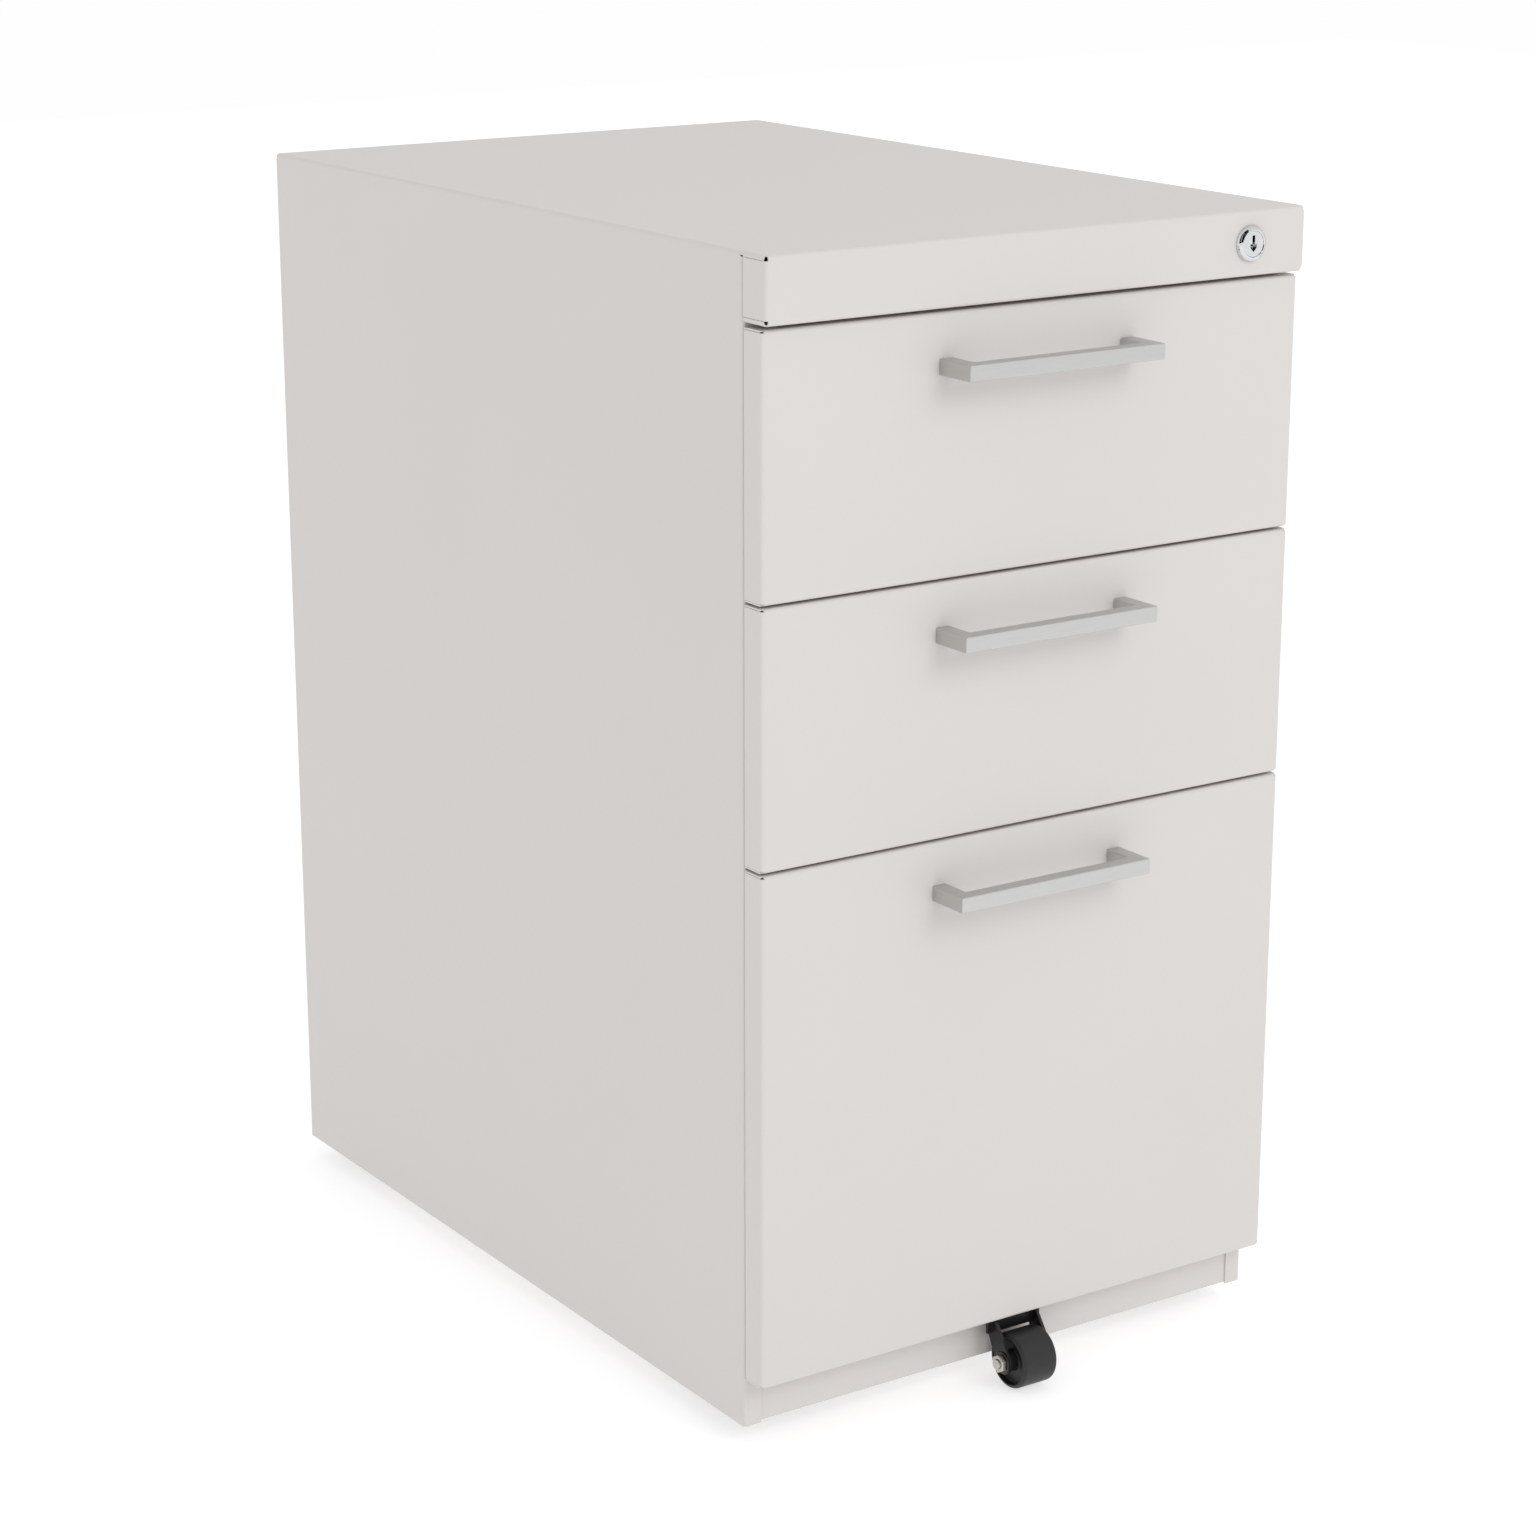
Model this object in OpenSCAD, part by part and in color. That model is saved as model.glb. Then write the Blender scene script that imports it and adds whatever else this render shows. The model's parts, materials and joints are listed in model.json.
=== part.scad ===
// Mobile steel filing pedestal: two box drawers over one file drawer, on four swivel
// casters hidden under the case, with a fifth wheel under the file drawer's front that
// keeps the pedestal from tipping. Front is -Y, up is +Z, the floor is z = 0, and the
// origin is under the middle of the whole pedestal, handles included.

/* [Case] */
// Width over the side panels
case_w = 381; // [310:0.5:460]
// Depth of the side panels, front edge to back
case_d = 557.5; // [460:0.5:680]
// Height of the top above the floor
overall_h = 704.8; // [580:0.1:850]
// Gap between the case's bottom edge and the floor
floor_gap = 14.6; // [8:0.1:22]
// Thickness of the case steel
sheet = 1; // [0.8:0.1:1.4]
// Outside radius of the folds
bend_r = 2.2; // [1.8:0.1:3]
// Width of the flanges folded in along the front and back edges of the sides
flange_w = 12; // [10:0.5:16]
// Height of the front rail folded down from the top
rail_h = 38.5; // [32:0.5:50]
// How far the front rail stands ahead of the side panels
rail_out = 22.2; // [18:0.1:28]
// Slit between the side panels and what stands ahead of them
seam_gap = 0.6; // [0.4:0.1:1.2]
// Height of the plinth seen below the file drawer
toe_h = 30.4; // [20:0.2:40]
// Width of the vertical posts inside the case
post_w = 40; // [34:1:50]
// Height of the two cross rails
cross_h = 30; // [20:1:34]

/* [Drawers] */
// Height of a box drawer's front
box_face_h = 151.6; // [125:0.2:185]
// Gap between two drawer fronts
face_gap = 1.6; // [1:0.1:3]
// Gap between the front rail and the top drawer
rail_gap = 2.5; // [1.5:0.1:4]
// Depth of the folded drawer fronts
face_out = 17.6; // [14:0.1:22]
// How far a drawer front's ends sit in from the side panels
face_inset = 0.5; // [0:0.1:2]
// Thickness of the drawer bodies' steel
tray_sheet = 0.8; // [0.6:0.1:1.2]
// Distance from the bottom of a box drawer's front up to its body
tray_rise = 12.5; // [8:0.5:18]
// Distance from the top of any drawer's front down to its body
tray_drop = 36; // [35:0.5:45]
// Room under the file drawer's body
tray_clear = 6; // [3:0.5:12]
// How far the hanging-folder rails stand in from the file drawer's walls
hang_ledge = 8.9; // [6:0.1:14]

/* [Slides] */
// Height of a slide
slide_h = 45; // [37:0.5:54]
// Thickness of a slide, wall to drawer
slide_t = 12.7; // [11:0.1:16]
// Thickness of the slides' steel
slide_sheet = 1.2; // [1:0.1:1.4]
// Distance from the side panels' front edge back to the slides
slide_setback = 17.5; // [16:0.5:24]
// Room between the slides' back end and the back of the case
slide_back_room = 40; // [30:1:60]
// Distance from a drawer body's bottom up to its slide
slide_lift = 7.5; // [4:0.5:12]

/* [Handles] */
// Length of a handle
pull_len = 138; // [110:1:170]
// Thickness of a handle's square bar
pull_bar = 9.4; // [8:0.2:12]
// How far the handles' middle stands left of the drawers' middle
pull_left = 2.4; // [0:0.1:6]
// How far a handle stands out from the drawer front
pull_out = 28.9; // [24:0.1:36]
// Distance from the top of a drawer front down to its handle
pull_drop = 25.7; // [20:0.1:36]

/* [Lock] */
// Distance from the side panel in to the lock's centre
lock_inset = 42; // [36:1:60]
// Diameter of the lock's bezel
lock_bezel_d = 21.6; // [20:0.1:26]
// How far the bezel stands out from the rail
lock_proud = 3.5; // [2.5:0.1:5]
// Diameter of the lock's body
lock_body_d = 18; // [17:0.1:19]
// Diameter of the turning plug
lock_plug_d = 15; // [12.5:0.1:15.5]
// Length of the lock's body behind the rail's face
lock_len = 24; // [18:0.5:24]
// Radius at which the cam's pin turns
cam_r = 7; // [5:0.1:8]

/* [Anti-tip wheel] */
// Diameter of the wheel under the file drawer
tip_wheel_d = 34.9; // [29:0.1:36]
// Width of that wheel
tip_wheel_w = 25.4; // [20:0.1:30]
// Gap between that wheel and the floor
tip_gap = 1.25; // [0.8:0.05:3]
// Distance of its axle ahead of the side panels
tip_axle_out = 21; // [19:0.1:26]
// Width of the bracket's front lip
tip_lip_w = 39.6; // [38:0.1:50]

/* [Casters] */
// Height of a caster, floor to plate
caster_h = 50; // [48:0.5:60]
// Diameter of a caster wheel
caster_wheel_d = 38; // [31.5:0.5:39]
// Width of a caster wheel
caster_wheel_w = 16; // [12:0.5:20]
// How far a caster wheel trails behind its swivel
caster_trail = 17; // [12:0.5:20]
// Distance from the case's outside in to a caster's swivel
caster_inset = 57; // [48:0.5:80]

/* [Hidden] */
$fn = 64;
eps = 0.01;
turn_gap = 0.05; // radial clearance of a wheel or plug on its shaft
face_clear = 0.4; // clearance between faces of parts that move past each other
screw_r = 2;
screw_hole_r = 2.1;
screw_head_r = 3.8;

// Levels and depths
z_top = overall_h;
z_bot = floor_gap;
rail_z0 = z_top - rail_h;
overall_d = case_d + face_out + pull_out;
y_back = overall_d / 2;
y_seam = y_back - case_d;
y_rail = y_seam - rail_out;
y_face = y_seam - face_out;
x_side = case_w / 2;
x_flange = x_side - flange_w;
flange_lap = 0.5; // how far the posts reach in past the flanges
x_post = x_flange - flange_lap;
pan_top = caster_h + sheet;
relief_r = 0.9;
z_slit = z_top - bend_r - relief_r; // top of the slits beside the rail's end flaps
plinth_lip = 12;
post_top_gap = 2;
cross_depth = 20;

// Drawers: 0 is the top one, 1 the middle one, 2 the file drawer
DRAWERS = ["top", "middle", "file"];
file_z0 = z_bot + toe_h;
box_z0 = [for (i = [0:1]) rail_z0 - rail_gap - (i + 1) * box_face_h - i * face_gap];
file_z1 = box_z0[1] - face_gap;
face_z0 = [box_z0[0], box_z0[1], file_z0];
face_z1 = [box_z0[0] + box_face_h, box_z0[1] + box_face_h, file_z1];
tray_z0 = [box_z0[0] + tray_rise, box_z0[1] + tray_rise, pan_top + tray_clear];
tray_z1 = [for (z = face_z1) z - tray_drop];
x_tray = x_post - slide_t;
head_gap = 0.5; // the closing panel ends short of the front's folds by this much
y_head = y_seam - seam_gap - head_gap; // back of the closing panel
slide_len = case_d - slide_setback - slide_back_room;
y_slide = y_seam + slide_setback;
tray_over = 12; // how far the drawer bodies reach past the slides
y_tray_back = y_slide + slide_len + tray_over;
slide_z = [for (z = tray_z0) z + slide_lift + slide_h / 2];
hang_end_gap = 6;
hang_below_rim = 6;
hang_flange = 20;
hang_lip = 10;
pull_z = [for (z = face_z1) z - pull_drop - pull_bar / 2];
pull_screw_x = [for (s = [-1, 1]) s * (pull_len - pull_bar) / 2 - pull_left];
pull_screw_depth = 8;
pull_head_t = 2.2;
screw_inset = 12; // from a slide's or post's end to its screw

// Slides, from the post inwards
ball_gap = 3.8; // height left for the balls between two members
slide_web_gap = 2; // between the case member's web and the middle member's
mid_half = slide_h / 2 - slide_sheet - ball_gap;
in_half = mid_half - slide_sheet - ball_gap;
x_mid_web = x_post - slide_sheet - slide_web_gap;
slide_over = 5; // how far the slides reach past the rear posts
y_rear_post = y_slide + slide_len - slide_over - post_w;
slide_screw_y = [y_slide + screw_inset, y_rear_post + post_w / 2];

// Lock
lock_x = x_side - lock_inset;
lock_z = z_top - rail_h / 2;
cam_turn = 90;
cam_drop = 2 * cam_r * sin(cam_turn / 2);
cam_t = 2;
cam_hub_r = 6;
cam_pin_r = 2;
cam_eye_r = 3.5; // round the pin
lock_nut_r = 12.5;
lock_nut_t = 4;
plug_tail_r = 5;
key_half_w = 1; // keyway: a slot with a wider pocket under it
key_top = 5;
key_depth = 12;
pocket_half_w = 2.4;
pocket_depth = 6;
bezel_step = 1.5;
y_cam = y_rail + lock_len + 1;
bar_t = 1.5;
bar_w = 14;
x_bar = x_post + sheet + 2.5;
y_bar = y_seam + 8;
link_t = 2;
y_link = y_bar + 1;
link_half = 6;
link_slot_half = cam_pin_r + 0.6;
link_z = lock_z + cam_drop / 2;
lug_t = 3;
lug_h = 10;
y_lug = y_bar + 2;
lug_reach = 9.5; // how far a lug stands in past the post
catch_h = 8;
catch_len = 12;
catch_clear = 2; // between an open lug and the catch under it
y_catch = y_lug + lug_t + 2.5;
catch_z = [for (z = slide_z) z + slide_h / 2 + 8];
lug_z = [for (z = catch_z) z + catch_h + catch_clear];
catch_gap = 2; // between a catch and the post
slot_room = 2; // above and below a lug in its slot
guide_h = 12;
guide_wall = 3;
guide_drop = 8; // from a catch down to the guide under it
guide_z = [for (z = catch_z) z - guide_drop - guide_h];
bar_z0 = guide_z[2] - cam_drop - 4;

// Anti-tip wheel
y_tip = y_seam - tip_axle_out;
tip_r = tip_wheel_d / 2;
z_tip = tip_gap + tip_r;
tip_axle_r = 3;
tip_plate_t = 2;
tip_hub_r = 6.5;
tip_hub_proud = 1.4; // how far the hub stands out of the wheel's faces
tip_rim = 2.6;
tip_recess = 4;
tip_edge = 2.2;
tip_leg_x = tip_wheel_w / 2 + tip_hub_proud + face_clear;
tip_washer_t = 0.8;
tip_washer_r = 7;
tip_nut_t = 3;
tip_leg_r = 7.5;
tip_head_r = 5.2;
tip_head_t = 2.4;
tip_nut_r = 5.8;
tip_lip_h = 8.8;
y_tip_lip = y_tip + 11;

// Casters: front left, front right, rear left, rear right
CASTERS = ["front_left", "front_right", "rear_left", "rear_right"];
caster_x = x_side - caster_inset;
caster_rear_in = 8; // the rear pair stand this much further in
caster_at = [
    [-caster_x, y_seam + caster_inset],
    [caster_x, y_seam + caster_inset],
    [-caster_x, y_back - caster_inset - caster_rear_in],
    [caster_x, y_back - caster_inset - caster_rear_in],
];
caster_hub_r = 6;
caster_hub_proud = 0.7;
caster_rim = 3;
caster_recess = 2.5;
caster_edge = 2;
caster_head_t = 1.8;
plate_t = 2;
plate_size = [44, 58];
plate_hole = [16, 23];
race_h = 4.5;
race_r = 15;
yoke_t = 2.5;
king_r = 4;
king_head_r = 6;
king_head_t = 1.5;
fork_t = 2;
fork_x = caster_wheel_w / 2 + caster_hub_proud + 0.5;
yoke_z1 = caster_h - plate_t - race_h - face_clear;
yoke_z0 = yoke_z1 - yoke_t;
caster_axle_r = 3;
rivet_head_r = 4.6;
rivet_head_t = 1.2;
fork_end_r = 6;

// ---- helpers ----

// A box given by its lowest and highest corners
module block(low, high) {
    translate(low) cube(high - low);
}

// Runs an X-Z outline along Y
module along_y(y0, y1) {
    translate([0, y1, 0]) rotate([90, 0, 0]) linear_extrude(y1 - y0) children();
}

// Runs a Y-Z outline along X
module along_x(x0, x1) {
    translate([x0, 0, 0]) rotate([90, 0, 90]) linear_extrude(x1 - x0) children();
}

// A round bar along X
module rod_x(x0, x1, y, z, r, sides = 64) {
    translate([x0, y, z]) rotate([0, 90, 0]) cylinder(h = x1 - x0, r = r, $fn = sides);
}

// A round bar along Y
module rod_y(y0, y1, x, z, r, sides = 64) {
    translate([x, y1, z]) rotate([90, 0, 0]) cylinder(h = y1 - y0, r = r, $fn = sides);
}

// A rectangle with its four corners rounded
module round_rect(low, high, r) {
    translate(low + [r, 0]) square(high - low - [2 * r, 0]);
    translate(low + [0, r]) square(high - low - [0, 2 * r]);
    for (x = [low.x + r, high.x - r], y = [low.y + r, high.y - r]) translate([x, y]) circle(r);
}

// A rectangle with only its two upper corners rounded
module arch(low, high, r) {
    translate(low) square(high - low - [0, r]);
    translate(low + [r, 0]) square(high - low - [2 * r, 0]);
    for (x = [low.x + r, high.x - r]) translate([x, high.y - r]) circle(r);
}

// A solid block whose folds are all rounded by the radius r
module folded_block(low, high, r) {
    intersection() {
        along_y(low.y, high.y) round_rect([low.x, low.z], [high.x, high.z], r);
        along_x(low.x, high.x) round_rect([low.y, low.z], [high.y, high.z], r);
        translate([0, 0, low.z]) linear_extrude(high.z - low.z)
            round_rect([low.x, low.y], [high.x, high.y], r);
    }
}

// Both sides of the case, mirrored
module both_sides() {
    children();
    mirror([1, 0, 0]) children();
}

// ---- case ----

// Section across the sides and top, from the level z0 up
module wrap_outline(z0) {
    difference() {
        arch([-x_side, z0], [x_side, z_top], bend_r);
        arch([sheet - x_side, z0 - 1], [x_side - sheet, z_top - sheet], bend_r - sheet);
    }
}

// What a fold takes off a square corner at the origin
module fold_cut() {
    difference() {
        translate([-1, -1]) square(bend_r + 1);
        translate([bend_r, bend_r]) circle(bend_r);
    }
}

// Rounds the wrap's folds: down each side at y_seam, y_rail and y_back, and across
module wrap_folds() {
    both_sides() translate([-x_side, 0, 0]) {
        translate([0, y_seam, z_bot - 1]) linear_extrude(z_slit - z_bot + 1) fold_cut();
        translate([0, y_rail, rail_z0 - 1]) linear_extrude(rail_h + 2) fold_cut();
        translate([0, y_back, z_bot - 1]) linear_extrude(z_top - z_bot + 2) mirror([0, 1]) fold_cut();
    }
    along_x(-x_side - 1, x_side + 1) {
        translate([y_rail, z_top]) mirror([0, 1]) fold_cut();
        translate([y_rail, rail_z0]) fold_cut();
        translate([y_back, z_top]) rotate(180) fold_cut();
    }
}

// Sides, top and front rail, folded from one sheet
module case_wrap() color("gainsboro") difference() {
    union() {
        along_y(y_seam, y_back - sheet) wrap_outline(z_bot);
        along_y(y_rail + sheet, y_seam) wrap_outline(rail_z0);
        along_y(y_rail, y_rail + sheet) arch([-x_side, rail_z0], [x_side, z_top], bend_r);
        block(
            [sheet - x_side, y_rail + sheet, rail_z0],
            [x_side - sheet, y_seam - seam_gap, rail_z0 + sheet]
        );
        both_sides()
            block([x_flange, y_seam, z_bot], [x_side - sheet, y_seam + sheet, z_top - sheet]);
        along_y(y_back - sheet, y_back) difference() {
            arch([-x_side, z_bot], [x_side, z_top], bend_r);
            translate([-x_flange, z_bot - 1]) square([2 * x_flange, z_top - flange_w - z_bot + 1]);
        }
    }
    wrap_folds();
    // slit between the side panels and the rail's end flaps, with a relief hole at its top
    both_sides() {
        block([x_side - 2 * sheet, y_seam - seam_gap, rail_z0 - 1], [x_side + 1, y_seam, z_slit]);
        rod_x(x_side - 2 * sheet, x_side + 1, y_seam - seam_gap / 2, z_slit, relief_r, 24);
    }
    rod_y(y_rail - 1, y_rail + 2 * sheet, lock_x, lock_z, lock_body_d / 2 + turn_gap);
}

// Flat panel that closes the back, inside the wrap's flanges
module back_panel() color("gainsboro")
    block(
        [sheet - x_side + face_clear, y_back - 2 * sheet, z_bot],
        [x_side - sheet - face_clear, y_back - sheet, z_top - sheet - face_clear]
    );

// Floor of the case, with edges folded down to the sides and back
module base_pan() color("gainsboro") difference() {
    block(
        [sheet - x_side, y_seam + 2 * sheet, z_bot + 2],
        [x_side - sheet, y_back - 2 * sheet, pan_top]
    );
    block(
        [2 * sheet - x_side, y_seam + sheet, z_bot],
        [x_side - 2 * sheet, y_back - 3 * sheet, pan_top - sheet]
    );
    for (at = caster_at, sx = [-1, 1], sy = [-1, 1])
        translate([at.x + sx * plate_hole.x, at.y + sy * plate_hole.y, caster_h - 1])
            cylinder(h = sheet + 2, r = screw_hole_r);
}

// Plinth strip behind the front flanges, with a lip folded back along its bottom
module plinth_panel() color("gainsboro") {
    y0 = y_seam + sheet;
    block([sheet - x_side, y0, z_bot + 1], [x_side - sheet, y0 + sheet, pan_top]);
    block([3 * sheet - x_side, y0, z_bot + 1], [x_side - 3 * sheet, y0 + plinth_lip, z_bot + 1 + sheet]);
}

// A channel that stands between the base and the top, open towards the side panel
module post(y0) {
    z1 = rail_z0 - post_top_gap;
    block([x_post, y0, pan_top], [x_post + sheet, y0 + post_w, z1]);
    for (y = [y0, y0 + post_w - sheet])
        block([x_post, y, pan_top], [x_side - sheet, y + sheet, z1]);
}

// Holes for the screws that hold the slides to a post
module slide_screw_holes(x0, x1, y) {
    for (z = slide_z) rod_x(x0, x1, y, z, screw_hole_r, 32);
}

// Left front, left rear and right rear posts
module plain_posts() color("silver") {
    mirror([1, 0, 0]) difference() {
        post(y_seam + sheet);
        slide_screw_holes(x_post - 1, x_post + 2 * sheet, slide_screw_y[0]);
    }
    both_sides() difference() {
        post(y_rear_post);
        slide_screw_holes(x_post - 1, x_post + 2 * sheet, slide_screw_y[1]);
    }
}

// Right front post, slotted for the lock bar's lugs
module lock_post() color("silver") difference() {
    post(y_seam + sheet);
    slide_screw_holes(x_post - 1, x_post + 2 * sheet, slide_screw_y[0]);
    for (z = lug_z) block(
        [x_post - 1, y_lug - 1, z - cam_drop - slot_room],
        [x_post + 2 * sheet, y_lug + lug_t + 1, z + lug_h + slot_room]
    );
}

// Channels between the front posts, behind the tops of the top and file drawers
module cross_rails() color("silver") {
    y0 = y_seam + sheet;
    for (z1 = [face_z1[0], face_z1[2]]) difference() {
        block([-x_post, y0, z1 - cross_h], [x_post, y0 + cross_depth, z1]);
        block(
            [-x_post - 1, y0 + sheet, z1 - cross_h + sheet],
            [x_post + 1, y0 + cross_depth + 1, z1 - sheet]
        );
    }
}

// ---- slides ----

// Outline of a channel: its web at x_web, its edges running towards -X from it
module channel_outline(x_web, x_edge, half, z) {
    difference() {
        translate([x_edge, z - half]) square([x_web - x_edge, 2 * half]);
        translate([x_edge - 1, z - half + slide_sheet])
            square([x_web - x_edge + 1 - slide_sheet, 2 * (half - slide_sheet)]);
    }
}

// The six fixed members, screwed to the posts
module slide_case_members() color("silver") both_sides() for (z = slide_z) difference() {
    along_y(y_slide, y_slide + slide_len)
        channel_outline(x_post, x_tray + slide_sheet, slide_h / 2, z);
    for (y = slide_screw_y) rod_x(x_post - 2 * slide_sheet, x_post + 1, y, z, screw_hole_r, 32);
}

// A drawer's two middle members, which run half as far as the drawer
module slide_middle(i) color("silver") both_sides()
    along_y(y_slide + 1, y_slide + slide_len - 1)
        channel_outline(x_mid_web, x_tray + slide_sheet / 2, mid_half, slide_z[i]);

// A drawer's two inner members, fixed to its body
module slide_inner(i) color("silver") both_sides()
    translate([x_tray, 0, 0]) mirror([1, 0, 0])
        along_y(y_slide, y_slide + slide_len)
            channel_outline(0, 2 * face_clear + slide_sheet - (x_mid_web - x_tray), in_half, slide_z[i]);

// Screws through the fixed members into the posts
module slide_screws() color("dimgray") both_sides() for (z = slide_z, y = slide_screw_y) {
    rod_x(x_post - slide_sheet - 1.2, x_post - slide_sheet, y, z, screw_head_r, 32);
    rod_x(x_post - slide_sheet - 0.5, x_post + 5, y, z, screw_r, 32);
}

// ---- lock ----

// Bezel and body, with a bore for the plug
module lock_cylinder() color("silver") translate([lock_x, y_rail, lock_z]) rotate([-90, 0, 0])
    rotate_extrude() difference() {
        union() {
            translate([0, -lock_proud + bezel_step]) square([lock_bezel_d / 2, lock_proud - bezel_step]);
            translate([0, -lock_proud]) square([lock_bezel_d / 2 - bezel_step, bezel_step + 0.5]);
            translate([lock_bezel_d / 2 - bezel_step, -lock_proud + bezel_step]) circle(bezel_step);
            translate([0, -1]) square([lock_body_d / 2, lock_len + 1]);
        }
        translate([-1, -lock_proud - 1]) square([1 + lock_plug_d / 2 + turn_gap, lock_len + 10]);
    }

// Six-sided nut that clamps the body behind the rail
module lock_nut() color("silver") difference() {
    rod_y(y_rail + sheet, y_rail + sheet + lock_nut_t, lock_x, lock_z, lock_nut_r, 6);
    rod_y(y_rail, y_rail + sheet + lock_nut_t + 1, lock_x, lock_z, lock_body_d / 2 + turn_gap);
}

// Plug with its keyway
module lock_plug() color("gainsboro") difference() {
    union() {
        rod_y(y_rail - lock_proud + 0.4, y_cam - 1, lock_x, lock_z, lock_plug_d / 2);
        rod_y(y_cam - 2, y_cam, lock_x, lock_z, plug_tail_r);
    }
    y0 = y_rail - lock_proud;
    block(
        [lock_x - key_half_w, y0, lock_z - 1],
        [lock_x + key_half_w, y0 + key_depth, lock_z + key_top]
    );
    translate([lock_x, y0 + pocket_depth, lock_z - 1]) rotate([90, 0, 0]) linear_extrude(pocket_depth)
        polygon([
            [-pocket_half_w, key_half_w],
            [pocket_half_w, key_half_w],
            [pocket_half_w, -key_half_w],
            [0, -1.5 * pocket_half_w],
            [-pocket_half_w, -key_half_w],
        ]);
}

// Cam with the pin that lowers the bar; at rest the pin is at the top of its swing
module lock_cam() color("silver") {
    translate([lock_x, y_cam, lock_z]) rotate([-90, 0, 0]) rotate([0, 0, -cam_turn / 2]) {
        linear_extrude(cam_t) {
            difference() {
                circle(cam_hub_r);
                circle(screw_hole_r);
            }
            translate([screw_hole_r + 0.5, -cam_eye_r]) square([cam_r - screw_hole_r - 0.5, 2 * cam_eye_r]);
            translate([cam_r, 0]) circle(cam_eye_r);
        }
        translate([cam_r, 0, 0]) cylinder(h = y_link + link_t + 1 - y_cam, r = cam_pin_r);
    }
}

// Screw that holds the cam to the plug
module lock_cam_screw() color("dimgray") {
    rod_y(y_cam, y_cam + cam_t + 0.5, lock_x, lock_z, screw_r);
    rod_y(y_cam + cam_t, y_cam + cam_t + 1.8, lock_x, lock_z, screw_head_r - 0.5);
}

// Vertical bar inside the lock post
module lock_bar() color("silver")
    block([x_bar, y_bar, bar_z0], [x_bar + bar_t, y_bar + bar_w, link_z + link_half]);

// Arm from the bar to the lock, slotted for the cam's pin
module lock_link() color("silver") along_y(y_link, y_link + link_t) difference() {
    x0 = lock_x + cam_drop / 2 - link_slot_half;
    x1 = lock_x + cam_r + link_slot_half;
    translate([x0 - 3, link_z - link_half]) square([x_bar - x0 + 3, 2 * link_half]);
    round_rect([x0, link_z - link_slot_half], [x1, link_z + link_slot_half], link_slot_half - 0.1);
}

// Lugs that drop in front of the drawers' catches
module lock_lugs() color("silver") for (z = lug_z)
    block([x_post - lug_reach, y_lug, z], [x_bar, y_lug + lug_t, z + lug_h]);

// Guides that hold the bar in the post
module lock_bar_guides() color("dimgray") for (z = guide_z) difference() {
    block(
        [x_post + sheet, y_bar - guide_wall, z],
        [x_bar + bar_t + guide_wall, y_bar + bar_w + guide_wall, z + guide_h]
    );
    block(
        [x_bar - face_clear, y_bar - face_clear, z - 1],
        [x_bar + bar_t + face_clear, y_bar + bar_w + face_clear, z + guide_h + 1]
    );
}

// ---- drawers ----

// Front folded from one sheet, with its four edges turned back
module drawer_front(i) color("gainsboro") {
    x1 = x_side - face_inset;
    difference() {
        intersection() {
            folded_block([-x1, y_face, face_z0[i]], [x1, y_seam + 4 * bend_r, face_z1[i]], bend_r);
            block([-x1, y_face, face_z0[i]], [x1, y_seam - seam_gap, face_z1[i]]);
        }
        folded_block(
            [sheet - x1, y_face + sheet, face_z0[i] + sheet],
            [x1 - sheet, y_seam + 5 * bend_r, face_z1[i] - sheet],
            bend_r - sheet
        );
        for (x = pull_screw_x) rod_y(y_face - 1, y_face + 2 * sheet, x, pull_z[i], screw_hole_r);
    }
}

// Body: sides, bottom and back, and the panel that closes the front
module drawer_body(i) color("gainsboro") {
    x1 = x_side - face_inset - sheet - head_gap;
    t = tray_sheet;
    difference() {
        block([-x_tray, y_head - t, tray_z0[i]], [x_tray, y_tray_back, tray_z1[i]]);
        block([t - x_tray, y_head, tray_z0[i] + t], [x_tray - t, y_tray_back - t, tray_z1[i] + 1]);
    }
    z_pad = sheet + head_gap;
    block([-x1, y_head - t, face_z0[i] + z_pad], [x1, y_head, face_z1[i] - z_pad]);
}

// Square bar bent back at both ends, drilled for a screw in each leg
module drawer_handle(i) color("lightgray") {
    z0 = pull_z[i] - pull_bar / 2;
    z1 = pull_z[i] + pull_bar / 2;
    y0 = y_face - pull_out;
    difference() {
        union() {
            translate([-pull_left, 0, 0])
                block([-pull_len / 2, y0, z0], [pull_len / 2, y0 + pull_bar, z1]);
            for (x = pull_screw_x)
                block([x - pull_bar / 2, y0, z0], [x + pull_bar / 2, y_face, z1]);
        }
        for (x = pull_screw_x)
            rod_y(y_face - pull_screw_depth - 1, y_face + 1, x, pull_z[i], screw_r + turn_gap);
    }
}

// Screws from inside the front into the handle's legs
module handle_screws(i) color("dimgray") for (x = pull_screw_x) {
    rod_y(y_face - pull_screw_depth, y_face + 2 * sheet, x, pull_z[i], screw_r);
    rod_y(y_face + sheet, y_face + sheet + pull_head_t, x, pull_z[i], screw_head_r);
}

// Catch that the lock bar's lug holds
module drawer_catch(i) color("dimgray")
    block(
        [x_tray, y_catch, catch_z[i]],
        [x_post - catch_gap, y_catch + catch_len, catch_z[i] + catch_h]
    );

// Folded rails that the hanging folders' hooks ride on
module folder_rails() color("silver") both_sides() {
    t = slide_sheet;
    x_wall = x_tray - tray_sheet;
    x_edge = x_wall - hang_ledge;
    y0 = y_head + hang_end_gap;
    y1 = y_tray_back - tray_sheet - hang_end_gap;
    z1 = tray_z1[2] - hang_below_rim;
    block([x_wall - t, y0, z1 - hang_flange], [x_wall, y1, z1]);
    block([x_edge, y0, z1 - t], [x_wall, y1, z1]);
    block([x_edge, y0, z1 - t], [x_edge + t, y1, z1 + hang_lip]);
}

// ---- anti-tip wheel ----

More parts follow.
